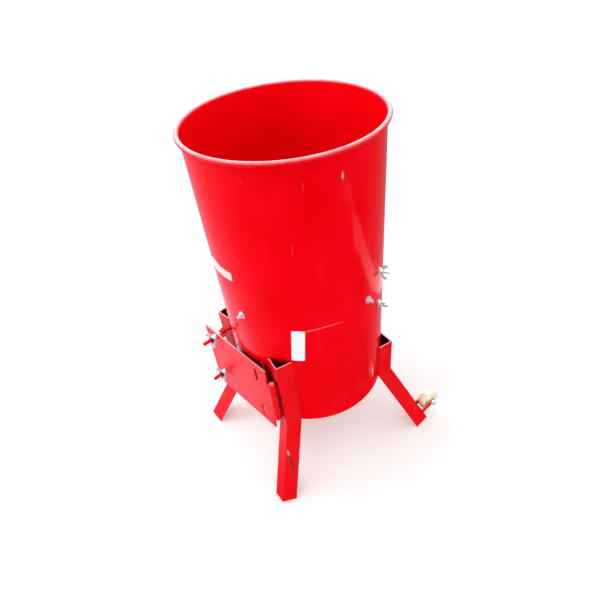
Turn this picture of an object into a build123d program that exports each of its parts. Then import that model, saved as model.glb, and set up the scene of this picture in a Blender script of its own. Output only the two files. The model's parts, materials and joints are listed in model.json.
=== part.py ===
"""Electric drum chopper for hay and straw: a tapered sheet-metal drum on four bent
angle-iron legs, with a hinged motor plate, two belt-tension studs, a rotor with
crossed knives in the bottom, counter bars on the wall and two transport wheels.

Frame: +Z up, origin on the floor under the drum's axis, the motor plate on the -Y
side. Azimuths are in degrees from -Y, counted towards +X.
"""

import os
from math import atan2, cos, degrees, radians, sin, sqrt, tan

from build123d import *

os.makedirs("parts", exist_ok=True)

# ---------------------------------------------------------------- driving dimensions
RUN = 0.05  # radial running clearance of shafts, pins and threads
FIT = 0.3  # gap between curved faces that only lie close

# drum
DRUM_Z = 246.0  # floor to the drum's bottom edge
DRUM_HEIGHT = 855.0  # bottom edge to the centre of the rolled rim
DRUM_BOTTOM_R = 232.0
DRUM_TOP_R = 245.6
SHEET = 1.6
RIM_R = 6.0  # outer radius of the rolled edge
RIM_CENTRE_R = DRUM_TOP_R - SHEET + RIM_R
RIM_SWEEP = 310  # degrees that the sheet is rolled round the wire

# legs, of equal angle iron
ANGLE_SIZE = 50.0
ANGLE_THICKNESS = 4.0
ANGLE_ROOT_R = 5.0
ANGLE_TOE_R = 1.8
MOTOR_LEG_AZIMUTH = 36.0
REAR_LEG_AZIMUTH = 131.3
MOTOR_LEG_TOP = 267.0  # heights of the legs' ends and bends, from the drum's bottom
REAR_LEG_TOP = 139.0
MOTOR_LEG_BEND = 2.0
REAR_LEG_BEND = 15.0
LEG_SPLAY = 28.6  # degrees from upright, below the bend
LEG_FOOT = -228.1  # height of the corner's end, from the drum's bottom
LEG_STANDOFF = 36.4  # corner of the angle to the drum's wall

# motor plate and its hinge
HINGE_X = 138.0
HINGE_Y = -229.5
KNUCKLE_R = 12.5
KNUCKLE_LENGTH = 50.0
KNUCKLE_GAP = 1.0
HINGE_BOTTOM = 41.0  # from the drum's bottom
HINGE_PIN_R = 7.0
PLATE_TURN = 6.4  # degrees between the plate and the XZ plane, at rest
PLATE_OFFSET = 1.5  # hinge axis to the plate's inner face
PLATE_THICKNESS = 5.0
PLATE_START = 15.5  # hinge axis to the plate's near edge
PLATE_END = 307.5
PLATE_BOTTOM = -19.0
PLATE_TOP = 237.5
MOTOR_SLOT_ALONG = 65.0
MOTOR_SLOT_HEIGHTS = (24.0, 189.0)
MOTOR_SLOT_LENGTH = 56.0
MOTOR_SLOT_WIDTH = 10.5

# belt-tension studs
STUD_R = 6.0
STUD_ALONG = 256.0
STUD_HEIGHTS = {"upper": 220.0, "lower": 60.0}
STUD_ROOT = -45.0  # ends, measured outwards from the hinge axis' own plane
STUD_TIP = 53.0
STUD_HOLE_WIDTH = 15.0
STUD_HOLE_LENGTH = 21.0
TENSION_GAP = 0.9  # room between a washer and the plate, for the plate's swing
WASHER_R = 11.5
WASHER_THICKNESS = 2.2

# bolts on the drum's wall
BAR_BOLT_AZIMUTHS = [12.5 + 90 * i for i in range(4)]
BAR_BOLT_HEIGHT = 406.0
CLAMP_AZIMUTH = 118.5
CLAMP_HEIGHTS = {"upper": 456.0, "lower": 340.0}
CLAMP_WING_TURNS = {"upper": 78.0, "lower": 127.0}
M8_R = 4.0

# transport wheels
WHEEL_R = 37.5
WHEEL_WIDTH = 28.0
WHEEL_FROM_FOOT = 26.0  # along the leg
WHEEL_REACH = 50.0  # axle to the leg's rear face
EAR_OUTER_X = 287.5
EAR_THICKNESS = 4.0
EAR_WIDTH = 22.0
EAR_GAP = 34.0
AXLE_R = 5.0

# floor, bearings and rotor; heights from the drum's bottom
FLOOR_Z = 30.0
FLOOR_THICKNESS = 5.0
HOUSING_BOTTOM = -52.0
HOUSING_TOP = 46.0
BEARING_OUTER_R = 26.0
BEARING_BORE_R = 12.5
BEARING_WIDTH = 15.0
BEARING_HEIGHTS = (-45.0, 26.0)
SHAFT_BOTTOM = -106.0
HUB_Z = 52.0
HUB_FLANGE_R = 60.0
HUB_BOLT_CIRCLE_R = 44.0
KNIFE_THICKNESS = 5.0
PULLEY_R = 62.0
PULLEY_WIDTH = 24.0
PULLEY_Z = -103.0
SHEAVE_DEPTH = 12.0


# ---------------------------------------------------------------- shared geometry
def outward(azimuth):
    """Horizontal unit vector from the drum's axis at an azimuth."""
    return Vector(sin(radians(azimuth)), -cos(radians(azimuth)), 0)


def tangent(azimuth):
    """Horizontal unit vector along the wall, towards growing azimuth."""
    return Vector(cos(radians(azimuth)), sin(radians(azimuth)), 0)


def wall_radius(height):
    """Outer radius of the drum at a height above its bottom edge."""
    return DRUM_BOTTOM_R + (DRUM_TOP_R - DRUM_BOTTOM_R) * height / DRUM_HEIGHT


WALL_LEAN = degrees(atan2(DRUM_TOP_R - DRUM_BOTTOM_R, DRUM_HEIGHT))


def wall_plane(azimuth, height, standoff=0.0):
    """Plane that touches the wall: x along the wall, y up, z outwards."""
    normal = outward(azimuth) * cos(radians(WALL_LEAN)) - Vector(0, 0, 1) * sin(radians(WALL_LEAN))
    foot = outward(azimuth) * wall_radius(height) + Vector(0, 0, DRUM_Z + height)
    return Plane(origin=foot + normal * standoff, x_dir=tangent(azimuth), z_dir=normal)


def level(height):
    """Horizontal plane at a height above the drum's bottom edge."""
    return Plane.XY.offset(DRUM_Z + height)


# The plate's own directions: along it away from the hinge, and out of its outer face.
PLATE_ALONG = Vector(-cos(radians(PLATE_TURN)), -sin(radians(PLATE_TURN)), 0)
PLATE_NORMAL = Vector(sin(radians(PLATE_TURN)), -cos(radians(PLATE_TURN)), 0)
HINGE_POINT = Vector(HINGE_X, HINGE_Y, 0)


def plate_plane(along, height, out=0.0):
    """Plane parallel to the motor plate: x towards the hinge, y up, z out of the plate."""
    origin = HINGE_POINT + PLATE_ALONG * along + PLATE_NORMAL * out + Vector(0, 0, DRUM_Z + height)
    return Plane(origin=origin, x_dir=PLATE_ALONG * -1, z_dir=PLATE_NORMAL)


def finish(piece, name):
    """Label a piece and write it."""
    piece.part.label = name
    export_step(piece.part, f"parts/{name}.step")


def tube(plane, outer_r, inner_r, length):
    """Straight tube standing on a plane."""
    with BuildSketch(plane) as ring:
        Circle(outer_r)
        Circle(inner_r, mode=Mode.SUBTRACT)
    extrude(ring.sketch, amount=length)


def hex_nut(plane, across_flats, bore_r, height):
    """Hexagon nut, seated on a plane."""
    with BuildSketch(plane) as outline:
        RegularPolygon(across_flats / 2, 6, major_radius=False)
        Circle(bore_r, mode=Mode.SUBTRACT)
    extrude(outline.sketch, amount=height)


def hex_head(plane, across_flats, height):
    """Solid hexagon bolt head, seated on a plane."""
    with BuildSketch(plane) as outline:
        RegularPolygon(across_flats / 2, 6, major_radius=False)
    extrude(outline.sketch, amount=height)


def wing_nut(plane, bore_r, hub_r, hub_height, span, height, thickness, turn=0.0):
    """Wing nut seated on a plane: a tapered hub and two wings that flare away."""
    with BuildSketch(plane) as hub:
        Circle(hub_r)
    extrude(hub.sketch, amount=hub_height, taper=9)
    wing_plane = Plane(plane.origin, x_dir=plane.x_dir.rotate(Axis((0, 0, 0), plane.z_dir), turn),
                       z_dir=plane.z_dir)
    side = Plane(wing_plane.origin, x_dir=wing_plane.x_dir, z_dir=-wing_plane.y_dir)
    root = bore_r + 0.8
    tip_r = 0.24 * height
    for end in (1, -1):
        with BuildSketch(side) as wing:
            with BuildLine():
                Polyline(
                    (end * root, 0.12 * hub_height),
                    (end * (hub_r - 0.8), 0.12 * hub_height),
                    (end * span / 2, height - 2.2 * tip_r),
                    (end * span / 2, height - 0.5 * tip_r),
                    (end * (span / 2 - 0.5 * tip_r), height),
                    (end * (span / 2 - 1.6 * tip_r), height),
                    (end * (hub_r + 0.5), 0.86 * hub_height),
                    (end * root, 0.86 * hub_height),
                    close=True,
                )
            make_face()
        extrude(wing.sketch, amount=thickness / 2, both=True)
    with BuildSketch(plane) as bore:
        Circle(bore_r)
    extrude(bore.sketch, amount=height, mode=Mode.SUBTRACT)


# ---------------------------------------------------------------- drum
with BuildPart() as drum_shell:
    with BuildSketch(Plane.XZ) as drum_section:
        rim_z = DRUM_Z + DRUM_HEIGHT
        with BuildLine():
            inner_curl = CenterArc((RIM_CENTRE_R, rim_z), RIM_R - SHEET, 180, -RIM_SWEEP)
            outer_curl = CenterArc((RIM_CENTRE_R, rim_z), RIM_R, 180, -RIM_SWEEP)
            Line(inner_curl @ 1, outer_curl @ 1)
            Polyline(
                inner_curl @ 0,
                (DRUM_BOTTOM_R, DRUM_Z),
                (DRUM_BOTTOM_R - SHEET, DRUM_Z),
                outer_curl @ 0,
            )
        make_face()
    revolve(axis=Axis.Z)
    for azimuth in BAR_BOLT_AZIMUTHS:
        with BuildSketch(wall_plane(azimuth, BAR_BOLT_HEIGHT, -8)):
            Circle(M8_R + 0.5)
        extrude(amount=16, mode=Mode.SUBTRACT)
    for height in CLAMP_HEIGHTS.values():
        with BuildSketch(wall_plane(CLAMP_AZIMUTH, height, -8)):
            Circle(M8_R + 0.5)
        extrude(amount=16, mode=Mode.SUBTRACT)
finish(drum_shell, "drum_shell")

with BuildPart() as rim_wire:
    with BuildSketch(Plane.XZ):
        with Locations((RIM_CENTRE_R, rim_z)):
            Circle(RIM_R - SHEET - 0.2)
    revolve(axis=Axis.Z)
finish(rim_wire, "rim_wire")

WINDOW_CENTRE_R = 148.0
WINDOW_DEPTH = 100.0
WINDOW_LENGTH = 150.0
HOUSING_BOLT_CIRCLE_R = 60.0
HOUSING_SPIGOT_R = 36.0

with BuildPart() as floor_plate:
    with BuildSketch(level(FLOOR_Z)):
        Circle(wall_radius(FLOOR_Z) - SHEET - FIT)
        Circle(HOUSING_SPIGOT_R + FIT, mode=Mode.SUBTRACT)
        with PolarLocations(WINDOW_CENTRE_R, 4):
            RectangleRounded(WINDOW_DEPTH, WINDOW_LENGTH, 12, mode=Mode.SUBTRACT)
        with PolarLocations(HOUSING_BOLT_CIRCLE_R, 4, 45):
            Circle(M8_R + 0.5, mode=Mode.SUBTRACT)
    extrude(amount=FLOOR_THICKNESS)
finish(floor_plate, "floor_plate")

# ---------------------------------------------------------------- legs


def leg_points(azimuth, top, bend):
    """Top, bend and foot of the leg's corner line."""
    radius = [wall_radius(height) + LEG_STANDOFF for height in (top, bend)]
    radius.append(radius[1] + (bend - LEG_FOOT) * tan(radians(LEG_SPLAY)))
    heights = (top, bend, LEG_FOOT)
    return [outward(azimuth) * r + Vector(0, 0, DRUM_Z + h) for r, h in zip(radius, heights)]


def make_leg(azimuth, top, bend):
    """Angle-iron leg, bent once, with square-cut ends."""
    points = leg_points(azimuth, top, bend)
    run = (points[1] - points[0]).normalized()
    start = Plane(origin=points[0], x_dir=tangent(azimuth).cross(run) * -1, z_dir=run)
    with BuildPart() as leg:
        with BuildLine() as path:
            Polyline(*points)
        with BuildSketch(start) as section:
            reach = ANGLE_SIZE / sqrt(2)
            step = ANGLE_THICKNESS / sqrt(2)
            with BuildLine():
                half = Polyline((0, 0), (-reach, reach), (-reach - step, reach - step), (-step * 2, 0))
                mirror(half, about=Plane.XZ)
            make_face()
            toes = section.vertices().sort_by(Axis.X)[:2]
            fillet(toes, ANGLE_TOE_R)
            root = section.vertices().sort_by_distance((-step * 2, 0))[0]
            fillet(root, ANGLE_ROOT_R)
        sweep(path=path.line, transition=Transition.RIGHT)
    return leg


LEGS = {
    "right_motor_leg": (MOTOR_LEG_AZIMUTH, MOTOR_LEG_TOP, MOTOR_LEG_BEND),
    "left_motor_leg": (-MOTOR_LEG_AZIMUTH, MOTOR_LEG_TOP, MOTOR_LEG_BEND),
    "right_rear_leg": (REAR_LEG_AZIMUTH, REAR_LEG_TOP, REAR_LEG_BEND),
    "left_rear_leg": (-REAR_LEG_AZIMUTH, REAR_LEG_TOP, REAR_LEG_BEND),
}
for leg_name, (leg_azimuth, leg_top, leg_bend) in LEGS.items():
    finish(make_leg(leg_azimuth, leg_top, leg_bend), leg_name)

# ---------------------------------------------------------------- motor plate hinge
hinge_xy = Plane(origin=HINGE_POINT + Vector(0, 0, DRUM_Z + HINGE_BOTTOM), z_dir=(0, 0, 1))
KNUCKLE_PITCH = KNUCKLE_LENGTH + KNUCKLE_GAP
HINGE_LENGTH = 3 * KNUCKLE_LENGTH + 2 * KNUCKLE_GAP

with BuildPart() as hinge_frame_knuckles:
    for step in (0, 2):
        tube(hinge_xy.offset(step * KNUCKLE_PITCH), KNUCKLE_R, HINGE_PIN_R + RUN, KNUCKLE_LENGTH)
finish(hinge_frame_knuckles, "hinge_frame_knuckles")

with BuildPart() as hinge_plate_knuckle:
    tube(hinge_xy.offset(KNUCKLE_PITCH), KNUCKLE_R, HINGE_PIN_R + RUN, KNUCKLE_LENGTH)
finish(hinge_plate_knuckle, "hinge_plate_knuckle")


def dome(plane, radius, height):
    """Low domed cap that stands on a plane."""
    sphere_r = (radius**2 + height**2) / (2 * height)
    section = Plane(plane.origin, x_dir=plane.x_dir, z_dir=-plane.y_dir)
    with BuildSketch(section) as half:
        with BuildLine():
            arc = RadiusArc((0, height), (radius, 0), sphere_r)
            Polyline(arc @ 1, (0, 0), arc @ 0)
        make_face()
    revolve(half.sketch, axis=Axis(plane.origin, plane.z_dir))


with BuildPart() as hinge_pin:
    with BuildSketch(hinge_xy):
        Circle(HINGE_PIN_R)
    extrude(amount=HINGE_LENGTH + 0.2)
    dome(hinge_xy.offset(HINGE_LENGTH + 0.2), KNUCKLE_R, 6)
finish(hinge_pin, "hinge_pin")

with BuildPart() as hinge_pin_cap:
    dome(Plane(hinge_xy.origin - Vector(0, 0, 0.2), z_dir=(0, 0, -1)), KNUCKLE_R, 5)
finish(hinge_pin_cap, "hinge_pin_cap")

plate_length = PLATE_END - PLATE_START
plate_height = PLATE_TOP - PLATE_BOTTOM
plate_middle = (PLATE_TOP + PLATE_BOTTOM) / 2
TAB_REACH = 3.0  # weld tab from the plate's edge to the middle knuckle

with BuildPart() as motor_plate:
    with BuildSketch(plate_plane(PLATE_START, plate_middle, PLATE_OFFSET)):
        with Locations((-plate_length / 2, 0)):
            RectangleRounded(plate_length, plate_height, 2)
        tab_height = HINGE_BOTTOM + 1.5 * KNUCKLE_PITCH - plate_middle
        with Locations((TAB_REACH / 2 - 1, tab_height)):
            Rectangle(TAB_REACH + 2, KNUCKLE_LENGTH)
        for slot_height in MOTOR_SLOT_HEIGHTS:
            with Locations((PLATE_START - MOTOR_SLOT_ALONG, slot_height - plate_middle)):
                SlotOverall(MOTOR_SLOT_LENGTH, MOTOR_SLOT_WIDTH, 90, mode=Mode.SUBTRACT)
        for stud_height in STUD_HEIGHTS.values():
            with Locations((PLATE_START - STUD_ALONG, stud_height - plate_middle)):
                SlotOverall(STUD_HOLE_LENGTH, STUD_HOLE_WIDTH, mode=Mode.SUBTRACT)
    extrude(amount=PLATE_THICKNESS)
    with BuildSketch(hinge_xy):
        Circle(KNUCKLE_R + 0.1)
    extrude(amount=HINGE_LENGTH, mode=Mode.SUBTRACT)
finish(motor_plate, "motor_plate")

# ---------------------------------------------------------------- tension studs
with BuildPart() as tension_studs:
    for stud_height in STUD_HEIGHTS.values():
        with BuildSketch(plate_plane(STUD_ALONG, stud_height, STUD_ROOT)):
            Circle(STUD_R)
        extrude(amount=STUD_TIP - STUD_ROOT - 1)
        with BuildSketch(plate_plane(STUD_ALONG, stud_height, STUD_TIP - 1)):
            Circle(STUD_R)
        extrude(amount=1, taper=45)
finish(tension_studs, "tension_studs")

OUTER_SEAT = PLATE_OFFSET + PLATE_THICKNESS + TENSION_GAP
INNER_SEAT = PLATE_OFFSET - TENSION_GAP
OUTER_NUT = {"hub_r": 10.5, "hub_height": 10.0, "span": 54.0, "height": 24.0, "thickness": 4.0}
INNER_NUT = {"hub_r": 10.0, "hub_height": 9.0, "span": 34.0, "height": 26.0, "thickness": 4.0}
JAM_NUT_HEIGHT = 7.0
PLAY = 0.3  # axial room between pieces that turn on each other

for place, stud_height in STUD_HEIGHTS.items():
    with BuildPart() as washers:
        for seat, towards in ((OUTER_SEAT, 1), (INNER_SEAT, -1)):
            at = plate_plane(STUD_ALONG, stud_height, seat)
            tube(Plane(at.origin, x_dir=at.x_dir, z_dir=at.z_dir * towards),
                 WASHER_R, STUD_R + RUN, WASHER_THICKNESS)
        jam_at = OUTER_SEAT + WASHER_THICKNESS + OUTER_NUT["hub_height"] + 2 * PLAY
        hex_nut(plate_plane(STUD_ALONG, stud_height, jam_at), 18, STUD_R + RUN, JAM_NUT_HEIGHT)
    solids = washers.part.solids().sort_by(Axis((0, 0, 0), PLATE_NORMAL))
    with BuildPart() as tension_washers:
        add(solids[:2])
    finish(tension_washers, f"{place}_tension_washers")
    with BuildPart() as jam_nut:
        add(solids[2])
    finish(jam_nut, f"{place}_jam_nut")
    with BuildPart() as outer_wing_nut:
        wing_nut(plate_plane(STUD_ALONG, stud_height, OUTER_SEAT + WASHER_THICKNESS + PLAY),
                 STUD_R + RUN, turn=-39, **OUTER_NUT)
    finish(outer_wing_nut, f"{place}_outer_wing_nut")
    with BuildPart() as inner_wing_nut:
        at = plate_plane(STUD_ALONG, stud_height, INNER_SEAT - WASHER_THICKNESS - PLAY)
        wing_nut(Plane(at.origin, x_dir=at.x_dir, z_dir=at.z_dir * -1),
                 STUD_R + RUN, turn=75, **INNER_NUT)
    finish(inner_wing_nut, f"{place}_inner_wing_nut")

# ---------------------------------------------------------------- counter bars and their bolts
BAR_FLANGE = 30.0
BAR_THICKNESS = 4.0
BAR_BOTTOM = FLOOR_Z + FLOOR_THICKNESS + 0.2
BAR_TOP = 432.0
FIN_BOTTOM = 95.0
BAR_CLEAR = SHEET + 1.2  # wall's outer face to the bar's back, where the flat bar's edges touch


def bar_plane(azimuth, out):
    """Plane inside the wall that leans with it, z outwards, centred at the bars' bottom."""
    return wall_plane(azimuth, BAR_BOTTOM, out)


with BuildPart() as counter_bars:
    for azimuth in BAR_BOLT_AZIMUTHS:
        length = BAR_TOP - BAR_BOTTOM
        back = bar_plane(azimuth, -BAR_CLEAR - BAR_THICKNESS)
        with BuildSketch(back):
            with Locations((0, length / 2)):
                RectangleRounded(BAR_FLANGE, length, 2)
            with Locations((0, BAR_BOLT_HEIGHT - BAR_BOTTOM)):
                Circle(M8_R + 0.4, mode=Mode.SUBTRACT)
        extrude(amount=BAR_THICKNESS)
        with BuildSketch(bar_plane(azimuth, -BAR_CLEAR - BAR_FLANGE)):
            with BuildLine():
                edge = BAR_FLANGE / 2
                Polyline(
                    (edge - BAR_THICKNESS, FIN_BOTTOM - BAR_BOTTOM),
                    (edge, FIN_BOTTOM - BAR_BOTTOM),
                    (edge, length - 45),
                    (edge - BAR_THICKNESS, length - 45),
                    close=True,
                )
            make_face()
        extrude(amount=BAR_FLANGE - BAR_THICKNESS)
finish(counter_bars, "counter_bars")

# Each bolt's head is inside, its washer and nut outside.
WALL_WASHER_R = 11.0
WALL_WASHER_THICKNESS = 1.8
WALL_WASHER_LIFT = 0.35
M8_NUT_FLATS = 13.0
M8_NUT_HEIGHT = 6.6
BAR_BOLT_TIP = 17.0
BAR_HEAD_AT = -BAR_CLEAR - BAR_THICKNESS - 0.1
HEAD_HEIGHT = 5.3

with BuildPart() as counter_bar_bolts:
    for azimuth in BAR_BOLT_AZIMUTHS:
        seat = wall_plane(azimuth, BAR_BOLT_HEIGHT, BAR_HEAD_AT)
        with BuildSketch(seat):
            Circle(M8_R)
        extrude(amount=BAR_BOLT_TIP - BAR_HEAD_AT)
        hex_head(seat.offset(-HEAD_HEIGHT), M8_NUT_FLATS, HEAD_HEIGHT)
finish(counter_bar_bolts, "counter_bar_bolts")

with BuildPart() as wall_washers:
    washer_spots = [(azimuth, BAR_BOLT_HEIGHT) for azimuth in BAR_BOLT_AZIMUTHS]
    washer_spots += [(CLAMP_AZIMUTH, height) for height in CLAMP_HEIGHTS.values()]
    for azimuth, height in washer_spots:
        tube(wall_plane(azimuth, height, WALL_WASHER_LIFT),
             WALL_WASHER_R, M8_R + 0.3, WALL_WASHER_THICKNESS)
finish(wall_washers, "wall_washers")

with BuildPart() as counter_bar_nuts:
    for azimuth in BAR_BOLT_AZIMUTHS:
        hex_nut(wall_plane(azimuth, BAR_BOLT_HEIGHT, WALL_WASHER_LIFT + WALL_WASHER_THICKNESS + 0.1),
                M8_NUT_FLATS, M8_R + RUN, M8_NUT_HEIGHT)
finish(counter_bar_nuts, "counter_bar_nuts")

# ---------------------------------------------------------------- adjustable counter knife
CLAMP_KNIFE_WIDTH = 36.0
CLAMP_KNIFE_THICKNESS = 5.0
CLAMP_KNIFE_MARGIN = 26.0  # beyond each bolt
CLAMP_CLEAR = SHEET + 1.4
CLAMP_BOLT_TIP = 28.0
clamp_span = CLAMP_HEIGHTS["upper"] - CLAMP_HEIGHTS["lower"]
clamp_middle = (CLAMP_HEIGHTS["upper"] + CLAMP_HEIGHTS["lower"]) / 2

clamp_knife_length = clamp_span + 2 * CLAMP_KNIFE_MARGIN
CLAMP_KNIFE_BEVEL = 9.0

with BuildPart() as counter_knife:
    middle_plane = wall_plane(CLAMP_AZIMUTH, clamp_middle, -CLAMP_CLEAR)
    lower_end = Plane(middle_plane.origin - middle_plane.y_dir * clamp_knife_length / 2,
                      x_dir=middle_plane.x_dir, z_dir=middle_plane.y_dir)
    with BuildSketch(lower_end):
        with BuildLine():
            half_width = CLAMP_KNIFE_WIDTH / 2
            Polyline(
                (-half_width, 0),
                (half_width, 0),
                (half_width, 1),
                (half_width - CLAMP_KNIFE_BEVEL, CLAMP_KNIFE_THICKNESS),
                (-half_width, CLAMP_KNIFE_THICKNESS),
                close=True,
            )
        make_face()
    extrude(amount=clamp_knife_length)
    with BuildSketch(middle_plane.offset(-CLAMP_KNIFE_THICKNESS - 1)):
        with Locations((0, clamp_span / 2), (0, -clamp_span / 2)):
            Circle(M8_R + 0.4)
    extrude(amount=CLAMP_KNIFE_THICKNESS + 2, mode=Mode.SUBTRACT)
finish(counter_knife, "counter_knife")

CLAMP_HEAD_AT = -CLAMP_CLEAR - CLAMP_KNIFE_THICKNESS - 0.1
with BuildPart() as clamp_bolts:
    for height in CLAMP_HEIGHTS.values():
        seat = wall_plane(CLAMP_AZIMUTH, height, CLAMP_HEAD_AT)
        with BuildSketch(seat):
            Circle(M8_R)
        extrude(amount=CLAMP_BOLT_TIP - CLAMP_HEAD_AT)
        dome(Plane(seat.origin, x_dir=seat.x_dir, z_dir=-seat.z_dir), 10, 4.5)
finish(clamp_bolts, "clamp_bolts")

CLAMP_NUT = {"hub_r": 8.0, "hub_height": 9.0, "span": 44.0, "height": 21.0, "thickness": 3.2}
for place, height in CLAMP_HEIGHTS.items():
    with BuildPart() as clamp_wing_nut:
        wing_nut(wall_plane(CLAMP_AZIMUTH, height, WALL_WASHER_LIFT + WALL_WASHER_THICKNESS + PLAY),
                 M8_R + RUN, turn=CLAMP_WING_TURNS[place], **CLAMP_NUT)
    finish(clamp_wing_nut, f"{place}_clamp_wing_nut")

# ---------------------------------------------------------------- label and strap on the wall
LABEL_AZIMUTH = 50.1
LABEL_WIDTH = 36.0
LABEL_BOTTOM = 272.0
LABEL_TOP = 385.0
LABEL_THICKNESS = 0.5
STRAP_AZIMUTH = -0.5
STRAP_LENGTH = 100.0
STRAP_BOTTOM = 519.0
STRAP_TOP = 544.0
STRAP_THICKNESS = 2.0
STRAP_HOLE_AZIMUTH = 7.3
STRAP_HOLE_HEIGHT = 534.0
STRAP_HOLE_R = 3.0
SKIN_LIFT = 0.05


def wall_skin(azimuth, low, high, width, thickness, corner_r, tilt=0.0):
    """Sheet bent round the wall: a band of the cone cut to a rounded rectangle."""
    middle = (low + high) / 2
    with BuildSketch(Plane.XZ) as section:
        with BuildLine():
            Polyline(
                (wall_radius(low - 20) + SKIN_LIFT, DRUM_Z + low - 20),
                (wall_radius(low - 20) + SKIN_LIFT + thickness, DRUM_Z + low - 20),
                (wall_radius(high + 20) + SKIN_LIFT + thickness, DRUM_Z + high + 20),
                (wall_radius(high + 20) + SKIN_LIFT, DRUM_Z + high + 20),
                close=True,
            )
        make_face()
    revolve(section.sketch, axis=Axis.Z)
    with BuildSketch(wall_plane(azimuth, middle, -40)) as outline:
        with Locations(Rotation(0, 0, tilt)):
            RectangleRounded(width, high - low, corner_r)
    extrude(outline.sketch, amount=80, mode=Mode.INTERSECT)


with BuildPart() as blank_label:
    wall_skin(LABEL_AZIMUTH, LABEL_BOTTOM, LABEL_TOP, LABEL_WIDTH, LABEL_THICKNESS, 4, tilt=-5.4)
finish(blank_label, "blank_label")

with BuildPart() as wall_strap:
    wall_skin(STRAP_AZIMUTH, STRAP_BOTTOM, STRAP_TOP, STRAP_LENGTH, STRAP_THICKNESS, 3)
    with BuildSketch(wall_plane(STRAP_HOLE_AZIMUTH, STRAP_HOLE_HEIGHT, -4)):
        Circle(STRAP_HOLE_R)
    extrude(amount=12, mode=Mode.SUBTRACT)
finish(wall_strap, "wall_strap")

# ---------------------------------------------------------------- transport wheels
rear_points = leg_points(REAR_LEG_AZIMUTH, REAR_LEG_TOP, REAR_LEG_BEND)
leg_run = (rear_points[2] - rear_points[1]).normalized()
leg_face = (tangent(REAR_LEG_AZIMUTH).cross(leg_run) * -1 + tangent(REAR_LEG_AZIMUTH)).normalized()
EAR_BASE = rear_points[2] - leg_run * WHEEL_FROM_FOOT
AXLE_POINT = EAR_BASE + leg_face * WHEEL_REACH
EAR_UP = Vector(1, 0, 0).cross(leg_face)
NUT_GAP = 0.3
AXLE_NUT_HEIGHT = 8.0
AXLE_HEAD_HEIGHT = 6.4
AXLE_FLATS = 16.0
AXLE_END = 13.0
SPACER_R = 9.0
BUSH_R = 8.0
wheel_mid_x = EAR_OUTER_X - EAR_THICKNESS - EAR_GAP / 2
ear_inner_x = EAR_OUTER_X - 2 * EAR_THICKNESS - EAR_GAP


def axle_plane(side, x):
    """Plane across the wheel's axle at a distance from the middle, z away from it."""
    origin = Vector(side * x, AXLE_POINT.Y, AXLE_POINT.Z)
    return Plane(origin, x_dir=(0, 0, 1), z_dir=(side, 0, 0))


SIDES = {"right": 1, "left": -1}

with BuildPart() as wheel_brackets:
    for side in SIDES.values():
        for x in (ear_inner_x, EAR_OUTER_X - EAR_THICKNESS):
            flat = Plane(Vector(side * x, AXLE_POINT.Y, AXLE_POINT.Z), x_dir=leg_face, z_dir=(side, 0, 0))
            with BuildSketch(flat):
                with Locations((-WHEEL_REACH / 2, 0)):
                    Rectangle(WHEEL_REACH - 0.4, EAR_WIDTH)
                Circle(EAR_WIDTH / 2)
                Circle(AXLE_R + 0.3, mode=Mode.SUBTRACT)
            extrude(amount=EAR_THICKNESS)
finish(wheel_brackets, "wheel_brackets")

with BuildPart() as wheel_axles:
    for side in SIDES.values():
        head_x = ear_inner_x - NUT_GAP - AXLE_HEAD_HEIGHT
        hex_head(axle_plane(side, head_x), AXLE_FLATS, AXLE_HEAD_HEIGHT)
        with BuildSketch(axle_plane(side, head_x)):
            Circle(AXLE_R)
        extrude(amount=EAR_OUTER_X + AXLE_END - head_x)
finish(wheel_axles, "wheel_axles")

with BuildPart() as axle_nuts:
    for side in SIDES.values():
        hex_nut(axle_plane(side, EAR_OUTER_X + NUT_GAP), AXLE_FLATS, AXLE_R + RUN, AXLE_NUT_HEIGHT)
finish(axle_nuts, "axle_nuts")

with BuildPart() as wheel_spacers:
    spacer = (EAR_GAP - WHEEL_WIDTH) / 2 - 2 * PLAY
    for side in SIDES.values():
        for x in (ear_inner_x + EAR_THICKNESS + PLAY, EAR_OUTER_X - EAR_THICKNESS - PLAY - spacer):
            tube(axle_plane(side, x), SPACER_R, AXLE_R + RUN, spacer)
finish(wheel_spacers, "wheel_spacers")

for word, side in SIDES.items():
    with BuildPart() as wheel_bush:
        tube(axle_plane(side, wheel_mid_x - WHEEL_WIDTH / 2), BUSH_R, AXLE_R + RUN, WHEEL_WIDTH)
    finish(wheel_bush, f"{word}_wheel_bush")

    with BuildPart() as wheel:
        with BuildSketch(Plane((0, AXLE_POINT.Y, AXLE_POINT.Z), x_dir=(1, 0, 0), z_dir=(0, -1, 0))):
            with BuildLine():
                near, far = (side * (wheel_mid_x + end * WHEEL_WIDTH / 2) for end in (-1, 1))
                dish_near, dish_far = (side * (wheel_mid_x + end * (WHEEL_WIDTH / 2 - 5)) for end in (-1, 1))
                crown = side * wheel_mid_x
                Polyline(
                    (near, BUSH_R + 0.02),
                    (near, 14),
                    (dish_near, 16),
                    (dish_near, 27),
                    (near, 29),
                    (near, WHEEL_R - 2.5),
                )
                ThreePointArc((near, WHEEL_R - 2.5), (crown, WHEEL_R), (far, WHEEL_R - 2.5))
                Polyline(
                    (far, WHEEL_R - 2.5),
                    (far, 29),
                    (dish_far, 27),
                    (dish_far, 16),
                    (far, 14),
                    (far, BUSH_R + 0.02),
                    (near, BUSH_R + 0.02),
                )
            make_face()
        revolve(axis=Axis((0, AXLE_POINT.Y, AXLE_POINT.Z), (1, 0, 0)))
    finish(wheel, f"{word}_transport_wheel")

# ---------------------------------------------------------------- bearing housing under the floor
HOUSING_R = 34.0
HOUSING_FLANGE_R = 75.0
HOUSING_FLANGE = 10.0
SHOULDER_R = 22.0
CIRCLIP_WIDTH = 1.75
CIRCLIP_DEPTH = 1.2
flange_z = FLOOR_Z - HOUSING_FLANGE - 0.2

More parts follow.
